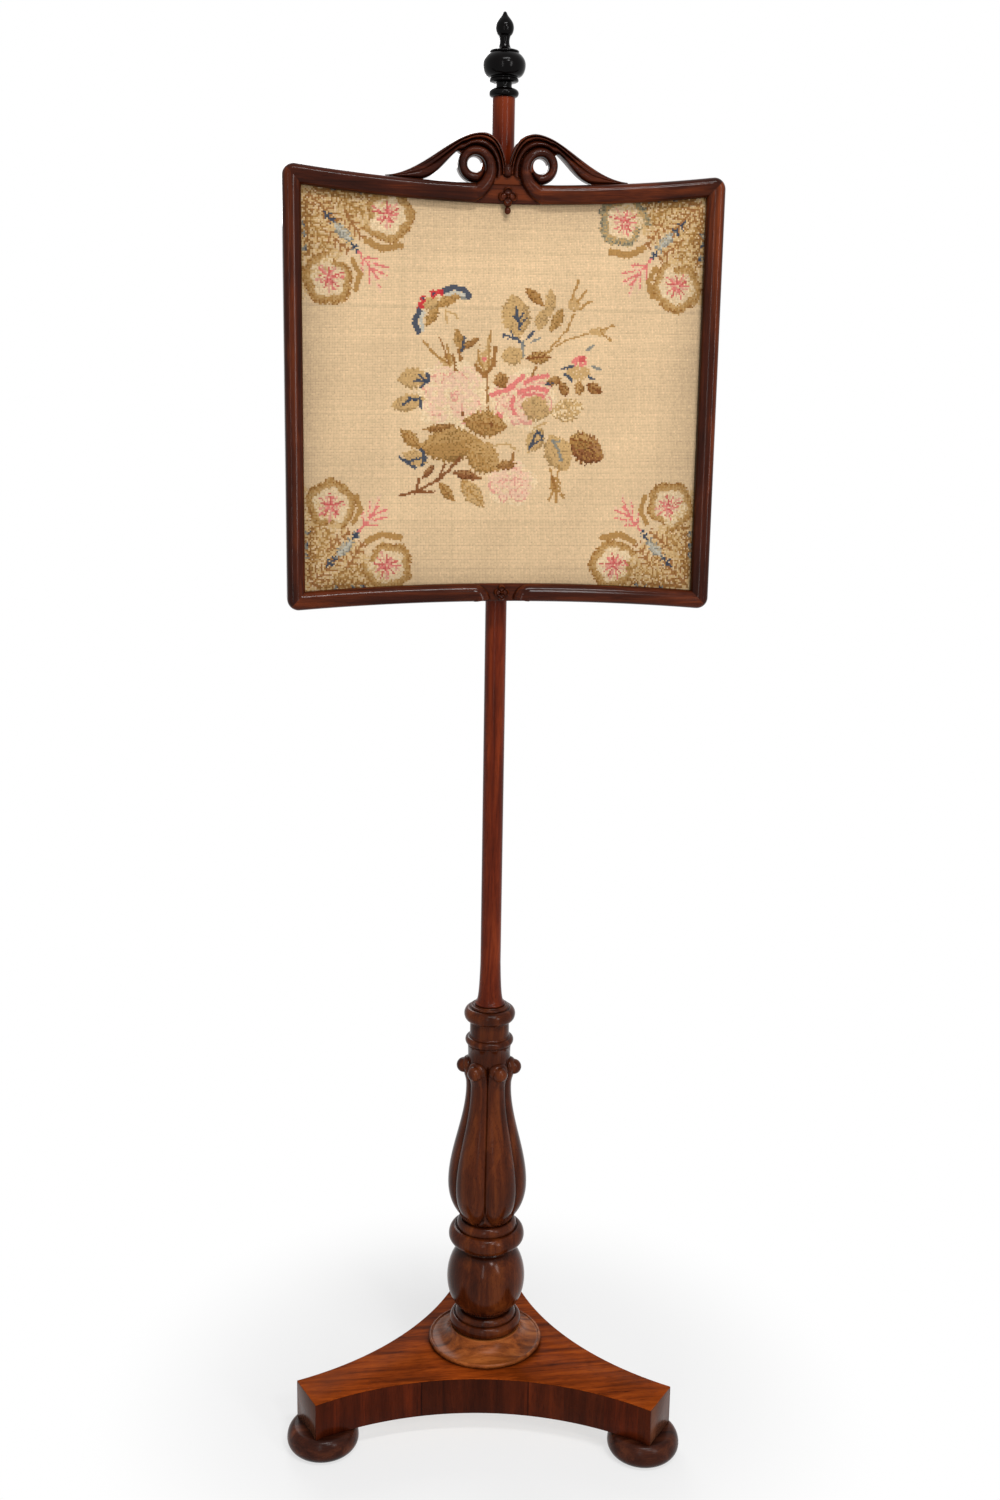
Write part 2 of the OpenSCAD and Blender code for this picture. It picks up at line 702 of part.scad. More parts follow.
// Little flower of four round petals about a boss, its back on the tablet, with or without a bud under it
module patera(z, bud) {
    petal_r = 0.52 * patera_r;
    ball_r = 1.35 * petal_r;
    sunk = sqrt(ball_r ^ 2 - petal_r ^ 2);
    ground_t = 1;
    color(rosewood) on_screen() translate([0, -frame_gap - tablet_h, z]) rotate([90, 0, 0]) {
        cylinder(r = patera_r - petal_r, h = ground_t);
        intersection() {
            union() {
                for (a = [0:90:270])
                    rotate(a) translate([patera_r - petal_r, 0, -sunk + ground_t]) sphere(ball_r);
                translate([0, 0, ground_t]) sphere(0.45 * petal_r + 1.4);
                if (bud) translate([0, -patera_r - 0.6 * bud_r, ground_t]) sphere(bud_r);
            }
            cylinder(r = 2 * patera_r, h = 2 * patera_r);
        }
    }
}

// Front view of one wing of the crest, from its tip over the crown to the middle
module wing_plan() {
    crown = top_mid_z + crest_h;
    tip_z = top_centre - sqrt(top_r ^ 2 - wing_len ^ 2);
    polygon(concat(
        [[0, top_mid_z - 1], [wing_len, tip_z - 2]],
        curve([wing_len, tip_z + 1], [0.68 * wing_len, tip_z + 4], [0.48 * wing_len, crown - 2.5],
            [0.23 * wing_len, crown], 14),
        curve([0.22 * wing_len, crown], [0.07 * wing_len, crown], [4, crown - 16], [0, crown - 34], 10)));
}

// Front view of the gap between a wing, its volute and the rail
module wing_gap() {
    foot_x = 0.69 * wing_len;
    foot_z = top_centre - sqrt(top_r ^ 2 - foot_x ^ 2);
    eye = [eye_x, top_mid_z + eye_z];
    difference() {
        polygon(concat(
            [[eye_x, foot_z - 8], [foot_x, foot_z - 8]],
            curve([foot_x, foot_z + 1], [foot_x - 14, foot_z + 5], [eye_x + 27, foot_z + 18],
                eye + [volute_r - 1, 11.5]),
            [eye]));
        translate(eye) circle(volute_r);
    }
}

module crest_plan() {
    intersection() {
        for (side = [0, 1]) mirror([side, 0]) difference() {
            wing_plan();
            wing_gap();
            translate([eye_x, top_mid_z + eye_z]) circle(eye_r);
        }
        top_disc(top_r);
    }
}

// Outer radius of the roll that winds in round the eye, at angle a
function volute_out(a) =
    volute_r - roll_margin + (eye_z + member_w - volute_r) * (1 - (270 - a) / volute_wind) ^ 5;

// Edges of a leaf from its root in the middle to its tip, over the crown and round the volute
function leaf_outer() =
    let (
        crown = top_mid_z + crest_h - leaf_margin,
        tip_z = top_centre - sqrt(top_r ^ 2 - wing_len ^ 2))
    concat(
        curve([2, crown - 32], [6, crown - 16], [0.09 * wing_len, crown], [0.22 * wing_len, crown], 7),
        curve([0.25 * wing_len, crown - 0.1], [0.47 * wing_len, crown - 3], [0.63 * wing_len, tip_z + 11],
            [wing_len - 20, tip_z + 4.7], 11));
function leaf_inner() =
    let (
        eye = [eye_x, top_mid_z + eye_z],
        foot_x = 0.69 * wing_len,
        tip_z = top_centre - sqrt(top_r ^ 2 - wing_len ^ 2))
    concat(
        [for (i = [0:7]) let (a = 205 - 22 * i) eye + (volute_out(a) + 1) * [cos(a), sin(a)]],
        curve(eye + [12.5, 13.5], [eye_x + 27, tip_z + 18], [foot_x - 15, tip_z + 5],
            [wing_len - 21, tip_z + 0.6], 11));

// Leaf with three ridges, standing on the crest's ground
module leaf() {
    outer = leaf_outer();
    inner = leaf_inner();
    last = len(outer) - 1;
    ground = frame_gap + crest_back + crest_t;
    steps = 12;
    sunk = 1;
    loft([for (i = [0:last])
        let (full = 0.25 + 0.75 * sin(180 * (0.12 + 0.8 * i / last)))
        concat(
            [for (j = [steps:-1:0]) let (
                v = j / steps,
                p = inner[i] + v * (outer[i] - inner[i]),
                rise = 0.6 + full * relief_t * (0.35 * sin(180 * v) + 0.5 * abs(sin(540 * v))))
                [p[0], -ground - rise, p[1]]],
            [for (edge = [inner[i], outer[i]]) [edge[0], -ground + sunk, edge[1]]])]);
}

// Roll of the moulding that leaves the rail under the eye and winds in round it
module volute() {
    ground = frame_gap + crest_back + crest_t;
    rings = 26;
    arc_steps = 7;
    sunk = 1;
    loft([for (i = [0:rings])
        let (
            t = i / rings,
            a = 270 - volute_wind * t,
            r_in = eye_r + roll_margin + (eye_z - eye_r) * (1 - t) ^ 6,
            r_out = volute_out(a))
        concat(
            [for (j = [arc_steps:-1:0]) let (
                b = 180 * j / arc_steps,
                r = (r_in + r_out) / 2 - (r_out - r_in) / 2 * cos(b))
                [eye_x + r * cos(a), -ground - relief_t * sin(b), top_mid_z + eye_z + r * sin(a)]],
            [for (r = [r_in, r_out])
                [eye_x + r * cos(a), -ground + sunk, top_mid_z + eye_z + r * sin(a)]])]);
}

module crest() {
    color(rosewood) on_screen() {
        upright(crest_back, crest_back + crest_t) crest_plan();
        for (side = [0, 1]) mirror([side, 0, 0]) {
            leaf();
            intersection() {
                volute();
                upright(crest_back, frame_t + 4) top_disc(top_r);
            }
        }
    }
}

module needlework() {
    color([0.84, 0.71, 0.51]) on_screen() upright(needlework_back, rebate_d) frame_plan(panel_inset);
}

// Front view of the top or bottom strainer bar
module level_bar_plan(upper) {
    intersection() {
        frame_plan(panel_inset);
        if (upper) top_disc(top_r + panel_inset + strainer_w);
        else low_disc(low_r + panel_inset + strainer_w);
    }
}

// Front view of a side strainer bar, between the level bars
module upright_bar_plan(side) {
    x = half_w - panel_inset - strainer_w;
    difference() {
        frame_plan(panel_inset);
        top_disc(top_r + panel_inset + strainer_w);
        low_disc(low_r + panel_inset + strainer_w);
        translate([side > 0 ? x - 2 * frame_w : -x, low_corner_z]) square([2 * frame_w, frame_h]);
    }
}

module strainer_bar(kind) {
    color(deal) on_screen() difference() {
        upright(strainer_back, needlework_back) {
            if (kind == "top") level_bar_plan(true);
            if (kind == "bottom") level_bar_plan(false);
            if (kind == "left") upright_bar_plan(-1);
            if (kind == "right") upright_bar_plan(1);
        }
        all_tacks(glue_fit);
    }
}

module back_lining() {
    color([0.62, 0.54, 0.40]) on_screen() difference() {
        upright(lining_back, strainer_back) frame_plan(panel_inset);
        all_tacks(glue_fit);
    }
}

// Tacks along the middles of the strainer's bars, heads on the lining's back
module all_tacks(room) {
    inset = panel_inset + strainer_w / 2;
    for (i = [0:tacks_a_side - 1], side = [-1, 1]) {
        share = (i + 0.5) / tacks_a_side - 0.5;
        tack([side * (half_w - inset), frame_z + share * (frame_h - 4 * inset)], room);
        x = share * (frame_w - 2 * inset);
        z = side > 0 ? top_centre - sqrt((top_r + inset) ^ 2 - x ^ 2) : low_centre + sqrt((low_r + inset) ^ 2 - x ^ 2);
        tack([x, z], room);
    }
}

module tack(place, room) {
    translate([place[0], -frame_gap - lining_back, place[1]]) rotate([90, 0, 0]) {
        translate([0, 0, -tack_head_h]) cylinder(r = tack_head_r, h = tack_head_h);
        cylinder(r = tack_r + room, h = lining_t + tack_len + room);
    }
}

module lining_tacks() {
    color(brass) on_screen() all_tacks(0);
}

module panel_brads() {
    color("dimgray") on_screen() all_brads();
}

// Brass slide: a plate on the rail's back and a ring that turns on the bush
module slide_bracket(z) {
    plate_back = frame_gap - plate_t;
    difference() {
        union() {
            translate([-plate_w / 2, -frame_gap, z + (ring_h - plate_h) / 2]) cube([plate_w, plate_t, plate_h]);
            translate([-neck_half_w, -plate_back - 0.1, z + (ring_h - plate_h) / 2])
                cube([2 * neck_half_w, plate_back - ring_bore_r + 1, plate_h]);
            translate([0, 0, z]) cylinder(r = ring_out_r, h = ring_h);
            children();
        }
        translate([0, 0, z - 1]) cylinder(r = ring_bore_r, h = bush_h + slide_fit + 1);
        translate([0, 0, z]) cylinder(r = ring_guide_r, h = ring_h + 1);
        all_slide_screws(z, glue_fit);
    }
}

module all_slide_screws(z, room) {
    for (side = [-1, 1])
        translate([side * screw_spread, -frame_gap + plate_t, z + ring_h / 2]) rotate([90, 0, 0]) {
            cylinder(r1 = screw_head_r, r2 = screw_r, h = plate_t - 0.4);
            cylinder(r = screw_r + room, h = plate_t + screw_len + room);
        }
}

module slide_screws(z) {
    slot_w = 0.8;
    color(brass) on_screen() difference() {
        all_slide_screws(z, 0);
        for (side = [-1, 1])
            translate([side * screw_spread - screw_head_r, -frame_gap + plate_t - slot_w, z + ring_h / 2 - slot_w / 2])
                cube([2 * screw_head_r, slot_w + 1, slot_w]);
    }
}

module upper_slide_bracket() {
    color(brass) on_screen() difference() {
        slide_bracket(upper_slide_z)
            translate([0, 0, boss_z]) rotate([-90, 0, 0]) cylinder(r = boss_r, h = boss_end);
        translate([0, 0, boss_z]) rotate([-90, 0, 0]) cylinder(r = thumb_r + thumb_fit, h = boss_end + 1);
    }
}

module lower_slide_bracket() {
    color(brass) on_screen() slide_bracket(lower_slide_z);
}

module bush(z) {
    color([0.35, 0.22, 0.12]) translate([0, 0, z]) difference() {
        cylinder(r = bush_out_r, h = bush_h);
        translate([0, 0, -1]) cylinder(r = bush_in_r, h = bush_h + 2);
    }
}

module thumbscrew() {
    spade_y = boss_end + thumb_fit + thumb_neck + thumb_spade_r - 2;
    color(brass) on_screen() translate([0, 0, boss_z]) {
        translate([0, pole_r + thumb_fit, 0]) rotate([-90, 0, 0])
            cylinder(r = thumb_r, h = spade_y - pole_r - thumb_fit - thumb_spade_r + 3);
        translate([0, boss_end + thumb_fit, 0]) rotate([-90, 0, 0]) cylinder(r = boss_r - 0.6, h = thumb_neck);
        translate([-spade_t / 2, spade_y, 0]) rotate([0, 90, 0]) cylinder(r = thumb_spade_r, h = spade_t);
    }
}

platform_core();
platform_top_veneer();
side_veneer(side_dirs[0]);  // front_side_veneer
side_veneer(side_dirs[1]);  // right_side_veneer
side_veneer(side_dirs[2]);  // left_side_veneer
end_veneer(foot_dirs[0]);  // front_left_end_veneer
end_veneer(foot_dirs[1]);  // front_right_end_veneer
end_veneer(foot_dirs[2]);  // rear_end_veneer
bun_foot(foot_dirs[0]);  // front_left_foot
bun_foot(foot_dirs[1]);  // front_right_foot
bun_foot(foot_dirs[2]);  // rear_foot
base_collar();
column();
tenon_wedge();
pole();
finial();
top_rail();
bottom_rail();
stile(-1);  // left_stile
stile(1);  // right_stile
corner_dowels();
crest();
patera(top_mid_z - 0.4 * member_w, true);  // top_patera
patera(low_mid_z + 0.5 * member_w, false);  // bottom_patera
needlework();
strainer_bar("top");  // strainer_top_bar
strainer_bar("bottom");  // strainer_bottom_bar
strainer_bar("left");  // strainer_left_bar
strainer_bar("right");  // strainer_right_bar
back_lining();
lining_tacks();
panel_brads();
upper_slide_bracket();
lower_slide_bracket();
slide_screws(upper_slide_z);  // upper_slide_screws
slide_screws(lower_slide_z);  // lower_slide_screws
bush(upper_slide_z);  // upper_bush
bush(lower_slide_z);  // lower_bush
thumbscrew();
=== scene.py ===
# %% [markdown]
# # A pole screen, dressed for its photograph
# A pole screen kept the heat of a fire off a sitter's face: a small framed panel slides and turns on a pole.
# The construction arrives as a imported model, the frame, and this lesson gives it its finish.
# Everything below is in metres in the frame's own axes: the floor is z = 0, the pole stands on the z axis
# and the screen faces -y, turned a little on its pole.

# %% Load the frame and measure what it brings
import math
import json
import bpy
import bmesh
import numpy as np
from mathutils import Matrix, Vector


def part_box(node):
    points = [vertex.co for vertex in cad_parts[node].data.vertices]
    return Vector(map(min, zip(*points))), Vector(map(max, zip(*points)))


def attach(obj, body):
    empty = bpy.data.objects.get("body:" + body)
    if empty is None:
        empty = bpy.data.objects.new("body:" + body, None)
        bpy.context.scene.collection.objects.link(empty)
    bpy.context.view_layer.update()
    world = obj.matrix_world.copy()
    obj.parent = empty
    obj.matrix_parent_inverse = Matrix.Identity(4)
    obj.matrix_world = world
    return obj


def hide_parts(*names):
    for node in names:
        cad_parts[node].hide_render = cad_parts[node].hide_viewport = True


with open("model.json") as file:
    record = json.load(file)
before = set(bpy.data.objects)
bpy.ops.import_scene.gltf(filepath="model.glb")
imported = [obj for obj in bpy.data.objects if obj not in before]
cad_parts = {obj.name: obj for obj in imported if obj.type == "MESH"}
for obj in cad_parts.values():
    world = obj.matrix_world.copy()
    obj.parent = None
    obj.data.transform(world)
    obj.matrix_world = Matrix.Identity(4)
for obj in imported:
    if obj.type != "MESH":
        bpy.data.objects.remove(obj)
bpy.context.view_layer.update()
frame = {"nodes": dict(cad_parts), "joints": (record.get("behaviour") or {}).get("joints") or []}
nodes = frame["nodes"]
MM = 0.001
thumb_axis = next(j["axis"] for j in frame["joints"] if j["name"] == "thumbscrew_turn")
TURN = math.atan2(-thumb_axis[0], thumb_axis[1])
print("nodes:", len(nodes), "screen turned by", round(math.degrees(TURN), 1), "degrees")

# %% [markdown]
# ## The camera
# The camera stands where the photograph was taken from: about 1.65 m in front of the pole and 1.12 m
# over the floor, looking a little down, with a slight roll that makes the right side hang lower.
# A lens is set by its focal length in pixels, so that a picture of 1000 by 1500 shows
# what the photograph does.

# %% Camera at the photograph's place
PICTURE_ROWS = 1500
FOCAL_PIXELS = 1647.8
CAMERA_PLACE = Vector((0.0064, -1.6503, 1.1211))
CAMERA_PITCH = math.radians(12.88)
CAMERA_ROLL = math.radians(0.93)
SENSOR = 36.0

camera_data = bpy.data.cameras.new("photo_camera")
camera_data.sensor_fit = "VERTICAL"
camera_data.sensor_height = SENSOR
camera_data.lens = SENSOR * FOCAL_PIXELS / PICTURE_ROWS
camera = bpy.data.objects.new("photo_camera", camera_data)
bpy.context.scene.collection.objects.link(camera)
tilt = Matrix.Rotation(math.pi / 2 - CAMERA_PITCH, 4, "X") @ Matrix.Rotation(CAMERA_ROLL, 4, "Z")
camera.matrix_world = Matrix.Translation(CAMERA_PLACE) @ tilt
bpy.context.scene.camera = camera
print("lens", round(camera_data.lens, 2), "mm")

# %% [markdown]
# ## Nodes without clutter
# A finish is a small graph of shader nodes, and a few helpers keep those graphs readable:
# one makes a material, one adds a node with its inputs, one lays colours along a ramp and one mixes two.
# Colours are written as a screen shows them, from 0 to 255, and turned into the linear levels of a shader.

# %% Helpers for shader graphs
MIX_FACTOR, MIX_FIRST, MIX_SECOND, MIX_RESULT = 0, 6, 7, 2
WHITE = (1, 1, 1)


def new_material(name):
    material = bpy.data.materials.new(name)
    material.use_nodes = True
    tree = material.node_tree
    return material, tree, tree.nodes["Principled BSDF"]


def plug_in(tree, socket, value):
    """Links another socket to this one, or writes a number or a colour into it."""
    if isinstance(value, bpy.types.NodeSocket):
        tree.links.new(value, socket)
    else:
        socket.default_value = value


def add(tree, kind, settings=None, **inputs):
    """Adds a node. A setting is a property of the node; an input is a number, a colour or another socket."""
    made = tree.nodes.new(kind)
    for key, value in (settings or {}).items():
        setattr(made, key, value)
    for key, value in inputs.items():
        socket = made.inputs[int(key[1:]) if key[1:].isdigit() else key.replace("_", " ")]
        plug_in(tree, socket, value)
    return made


def ramp(tree, factor, stops, interpolation="LINEAR"):
    """Colours along a factor. A stop is a place from 0 to 1 and a colour."""
    made = tree.nodes.new("ShaderNodeValToRGB")
    made.color_ramp.interpolation = interpolation
    elements = made.color_ramp.elements
    while len(elements) < len(stops):
        elements.new(0.5)
    for element, (place, colour) in zip(elements, stops):
        element.position = place
        element.color = (*colour, 1)
    tree.links.new(factor, made.inputs[0])
    return made.outputs[0]


def mix(tree, factor, first, second, blend="MIX"):
    made = tree.nodes.new("ShaderNodeMix")
    made.data_type = "RGBA"
    made.blend_type = blend
    for place, value in ((MIX_FACTOR, factor), (MIX_FIRST, first), (MIX_SECOND, second)):
        plug_in(tree, made.inputs[place], (*value, 1) if isinstance(value, tuple) else value)
    return made.outputs[MIX_RESULT]


def linear_level(level):
    """A level from 0 to 255 on a screen, as the linear level that a shader takes."""
    return np.where(level > 10, ((level / 255 + 0.055) / 1.055) ** 2.4, level / 255 / 12.92)


def srgb(red, green, blue):
    return tuple(float(linear_level(level)) for level in (red, green, blue))


print("a middle grey of 128 is", round(srgb(128, 128, 128)[0], 3), "to a shader")

# %% [markdown]
# ## Polished wood
# The screen is rosewood under shellac: dark streaks along the grain, short open pores,
# cloudy changes of colour over a hand's breadth, and every hollow darkened, partly by old wax and dust and
# partly as painted shade.
# The grain follows a direction in object space, so each piece names its own.
# An ambient occlusion node finds the hollows and darkens them, partly as wax and dust and partly as painted
# shade, because carving with no dark in it looks like plastic.

# %% Wood finish
GRAIN_TURN = {"x": (0, math.pi / 2, 0), "z": (0, 0, 0)}
STREAK_STRETCH = 14
PORES = (1500, 1500, 70)
CLOUDS = 16.0
LEAF_REACH = 200
WAX_AND_SHADE = (0.16, 0.13, 0.12)


def wood(name, tones, grain="z", streak=70, dirt_and_shade=0.9, rough=(0.2, 0.32), gloss=0.09, mottle=0.5,
         hollow=9 * MM, pore_depth=0.6, wear_and_sheen=0.7, leaves=None):
    """A polished wood of a dark, a middle and a light tone.

    Leaves of veneer are places in millimetres along x, each with the tone that starts there.
    """
    dark, middle, light = [srgb(*tone) for tone in tones]
    material, tree, shader = new_material(name)
    place = add(tree, "ShaderNodeTexCoord").outputs["Object"]
    straight = add(tree, "ShaderNodeVectorRotate", {"rotation_type": "Z_AXIS"}, Vector=place, Angle=-TURN)
    along = add(tree, "ShaderNodeMapping", None, Vector=straight.outputs[0], Rotation=GRAIN_TURN[grain])
    drawn = add(tree, "ShaderNodeMapping", None, Vector=along.outputs[0],
                Scale=(streak, streak, streak / STREAK_STRETCH))
    streaks = add(tree, "ShaderNodeTexNoise", None, Vector=drawn.outputs[0], Scale=1.0, Detail=6.0,
                  Roughness=0.62, Distortion=0.5)
    colour = ramp(tree, streaks.outputs[0], [(0.30, dark), (0.50, middle), (0.70, light)])
    clouds = add(tree, "ShaderNodeTexNoise", None, Vector=along.outputs[0], Scale=CLOUDS, Detail=3.0)
    cloud_tone = ramp(tree, clouds.outputs[0], [(0.35, (0.55,) * 3), (0.62, (1.2,) * 3)])
    colour = mix(tree, mottle, colour, cloud_tone, "MULTIPLY")
    pore_place = add(tree, "ShaderNodeMapping", None, Vector=along.outputs[0], Scale=PORES)
    pores = add(tree, "ShaderNodeTexNoise", None, Vector=pore_place.outputs[0], Scale=1.0, Detail=1.0)
    pore_tone = ramp(tree, pores.outputs[0], [(0.56, WHITE), (0.68, (0.42, 0.36, 0.33))])
    colour = mix(tree, pore_depth, colour, pore_tone, "MULTIPLY")
    if leaves:
        side = add(tree, "ShaderNodeSeparateXYZ", None, Vector=place).outputs[0]
        share = add(tree, "ShaderNodeMapRange", None, Value=side, From_Min=-LEAF_REACH * MM,
                    From_Max=LEAF_REACH * MM)
        stops = [((x + LEAF_REACH) / (2 * LEAF_REACH), tone) for x, tone in leaves]
        colour = mix(tree, 1.0, colour, ramp(tree, share.outputs[0], stops, "CONSTANT"), "MULTIPLY")
    # Painted shade and old wax: hollows found by ambient occlusion are darkened towards a wax brown.
    nook = add(tree, "ShaderNodeAmbientOcclusion", {"samples": 6}, Distance=hollow)
    nook_tone = ramp(tree, nook.outputs["AO"], [(0.35, WAX_AND_SHADE), (0.95, WHITE)])
    colour = mix(tree, dirt_and_shade, colour, nook_tone, "MULTIPLY")
    # Proud edges and ridges are lightened towards the light tone: partly wear, partly painted highlight.
    proud_edge = add(tree, "ShaderNodeNewGeometry").outputs["Pointiness"]
    wear_and_sheen_share = add(tree, "ShaderNodeMapRange", None, Value=proud_edge, From_Min=0.53, From_Max=0.62,
                       To_Max=wear_and_sheen)
    colour = mix(tree, wear_and_sheen_share.outputs[0], colour, light)
    tree.links.new(colour, shader.inputs["Base Color"])
    polish = add(tree, "ShaderNodeMapRange", None, Value=clouds.outputs[0], From_Min=0.3, From_Max=0.7,
                 To_Min=rough[0], To_Max=rough[1])
    tree.links.new(polish.outputs[0], shader.inputs["Roughness"])
    relief = add(tree, "ShaderNodeBump", None, Strength=0.03, Distance=0.0004, Height=pores.outputs[0])
    tree.links.new(relief.outputs[0], shader.inputs["Normal"])
    shader.inputs["Specular IOR Level"].default_value = gloss
    return material


print("the wood's grain runs along", list(GRAIN_TURN))

# %% [markdown]
# ## One wood, many tones
# Rosewood is never one colour: the pole is redder, the feet are browner and the platform's top has faded.
# The finish stays the same function, and each piece gets a dark, a middle and a light tone of its own.
# The platform's sides are veneered in leaves, so their tone changes at dark joints along the side.

# %% The woods of the screen
ROSEWOOD = ((30, 10, 5), (60, 23, 10), (108, 48, 20))
FRAME_HOLLOW = 14 * MM
frame_polish = {"dirt_and_shade": 0.8, "rough": (0.1, 0.17), "hollow": FRAME_HOLLOW}
wood_upright = wood("rosewood_upright", ROSEWOOD, grain="z", wear_and_sheen=0.2, **frame_polish)
wood_level = wood("rosewood_level", ROSEWOOD, grain="x", wear_and_sheen=0.2, **frame_polish)
wood_carved = wood("rosewood_carved", ROSEWOOD, grain="x", **frame_polish)
wood_column = wood("rosewood_column", ((48, 18, 7), (78, 33, 13), (112, 55, 23)), grain="z",
                   hollow=FRAME_HOLLOW, rough=(0.13, 0.22))
wood_pole = wood("rosewood_pole", ((54, 15, 5), (95, 32, 12), (130, 53, 23)), streak=90, mottle=0.35,
                 rough=(0.14, 0.22), gloss=0.08)
wood_foot = wood("rosewood_feet", ((32, 13, 8), (66, 30, 18), (106, 56, 34)), grain="x")
wood_top = wood("platform_top_finish", ((82, 32, 9), (141, 60, 16), (172, 80, 25)), grain="x", streak=150,
                rough=(0.3, 0.45), mottle=0.6, pore_depth=1.0, gloss=0.012)
wood_collar = wood("collar_finish", ((60, 25, 10), (138, 72, 31), (182, 106, 52)), grain="x", streak=80,
                   mottle=0.8)
RED_LEAF, DARK_LEAF, JOINT = (1.3, 1.1, 0.95), (0.8, 0.8, 0.82), (0.3, 0.26, 0.24)
SIDE_LEAVES = [(-LEAF_REACH, RED_LEAF), (-68, JOINT), (-67, DARK_LEAF), (46, JOINT), (47, WHITE),
               (127, JOINT), (128, RED_LEAF), (161, JOINT), (162, DARK_LEAF)]
wood_side = wood("platform_side_finish", ((44, 16, 7), (68, 26, 11), (94, 37, 15)), grain="z", streak=60,
                 mottle=0.6, gloss=0.045, leaves=SIDE_LEAVES)
wood_end = wood("platform_end_finish", ((50, 25, 16), (82, 44, 29), (112, 67, 45)), grain="z", streak=45)
wood_black = wood("ebonised_finish", ((2, 1, 1), (4, 2, 2), (8, 6, 6)), rough=(0.12, 0.18), gloss=0.08,
                  wear_and_sheen=0.2)
wood_deal = wood("deal", ((160, 120, 72), (186, 146, 92), (204, 168, 112)), grain="x", rough=(0.6, 0.75),
                 gloss=0.2, wear_and_sheen=0.2)
print("woods:", [m.name for m in bpy.data.materials if "wood" in m.name or "finish" in m.name])

# %% [markdown]
# ## Brass, iron and leather
# Behind the screen the slides are cast brass that has gone brown away from the fingers,
# the brads are iron and the bushes that grip the pole are thick leather.

# %% Metal and leather finishes
def aged_metal(name, bright, brown, rough):
    material, tree, shader = new_material(name)
    place = add(tree, "ShaderNodeTexCoord").outputs["Object"]
    tarnish = add(tree, "ShaderNodeTexNoise", None, Vector=place, Scale=140.0, Detail=5.0, Roughness=0.6)
    # Hollows are darkened by ambient occlusion: partly tarnish, partly painted shade.
    nook = add(tree, "ShaderNodeAmbientOcclusion", {"samples": 6}, Distance=4 * MM)
    colour = ramp(tree, tarnish.outputs[0], [(0.35, brown), (0.65, bright)])
    nook_tone = ramp(tree, nook.outputs["AO"], [(0.3, (0.3, 0.24, 0.2)), (0.9, WHITE)])
    tree.links.new(mix(tree, 0.8, colour, nook_tone, "MULTIPLY"), shader.inputs["Base Color"])
    gloss = add(tree, "ShaderNodeMapRange", None, Value=tarnish.outputs[0], To_Min=rough[1], To_Max=rough[0])
    tree.links.new(gloss.outputs[0], shader.inputs["Roughness"])
    shader.inputs["Metallic"].default_value = 1.0
    return material


def leather_finish():
    material, tree, shader = new_material("bush_leather")
    place = add(tree, "ShaderNodeTexCoord").outputs["Object"]
    pebbles = add(tree, "ShaderNodeTexVoronoi", {"feature": "SMOOTH_F1"}, Vector=place, Scale=900.0)
    stain = add(tree, "ShaderNodeTexNoise", None, Vector=place, Scale=90.0, Detail=4.0)
    colour = ramp(tree, stain.outputs[0], [(0.3, srgb(60, 36, 20)), (0.7, srgb(104, 66, 38))])
    tree.links.new(colour, shader.inputs["Base Color"])
    relief = add(tree, "ShaderNodeBump", None, Strength=0.4, Distance=0.0003, Height=pebbles.outputs[0])
    tree.links.new(relief.outputs[0], shader.inputs["Normal"])
    shader.inputs["Roughness"].default_value = 0.6
    return material


brass = aged_metal("aged_brass", srgb(206, 164, 88), srgb(120, 84, 40), (0.24, 0.48))
iron = aged_metal("old_iron", srgb(96, 92, 88), srgb(60, 44, 36), (0.45, 0.7))
bush_leather = leather_finish()
print("metals and leather:", brass.name, iron.name, bush_leather.name)

# %% [markdown]
# ## From a bmesh to a piece
# Every new piece is put in the scene by one function, which says which body carries it
# and which nodes of the frame it takes the place of.
# A solid piece is finished first: doubles are merged, the faces are turned outwards,
# and edges sharper than an angle stay crisp.

# %% Finish a piece
PIECES = []
MERGE = 2e-6


def put_in_scene(name, bm, finish, body, slot, *stands_for):
    """Makes a smooth object of a bmesh and gives it its finish, its body and its nodes; the slot is not
    used.
    """
    for face in bm.faces:
        face.smooth = True
    mesh = bpy.data.meshes.new(name)
    bm.to_mesh(mesh)
    bm.free()
    mesh.materials.append(finish)
    piece = bpy.data.objects.new(name, mesh)
    bpy.context.scene.collection.objects.link(piece)
    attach(piece, body)
    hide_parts(*stands_for)
    PIECES.append(name)
    return piece


def finish_piece(name, bm, finish, body, slot, *stands_for, sharp=40):
    bmesh.ops.remove_doubles(bm, verts=bm.verts, dist=MERGE)
    bmesh.ops.recalc_face_normals(bm, faces=bm.faces)
    for edge in bm.edges:
        edge.smooth = len(edge.link_faces) == 2 and edge.calc_face_angle(0) < math.radians(sharp)
    put_in_scene(name, bm, finish, body, slot, *stands_for)


def low(node, axis=2):
    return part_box(node)[0][axis] / MM


def high(node, axis=2):
    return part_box(node)[1][axis] / MM


print("the finial's tip is", round(high("finial")), "mm over the floor")

# %% [markdown]
# ## Work of the lathe
# Feet, collar, column, pole and finial were turned. On a computer the lathe is a spin: half an outline,
# as radius and height in millimetres, goes once round the z axis.
# Two quarter ellipses and a cubic curve are enough to draw every bead, hollow and swelling.

# %% Curves and the lathe
def sweep_out(r0, z0, r1, z1, n=10):
    """Quarter of an ellipse that leaves level and arrives upright."""
    turns = [math.pi / 2 * i / n for i in range(n + 1)]
    return [(r0 + (r1 - r0) * math.sin(a), z0 + (z1 - z0) * (1 - math.cos(a))) for a in turns]


def sweep_in(r0, z0, r1, z1, n=10):
    """Quarter of an ellipse that leaves upright and arrives level."""
    turns = [math.pi / 2 * i / n for i in range(n + 1)]
    return [(r0 + (r1 - r0) * (1 - math.cos(a)), z0 + (z1 - z0) * math.sin(a)) for a in turns]


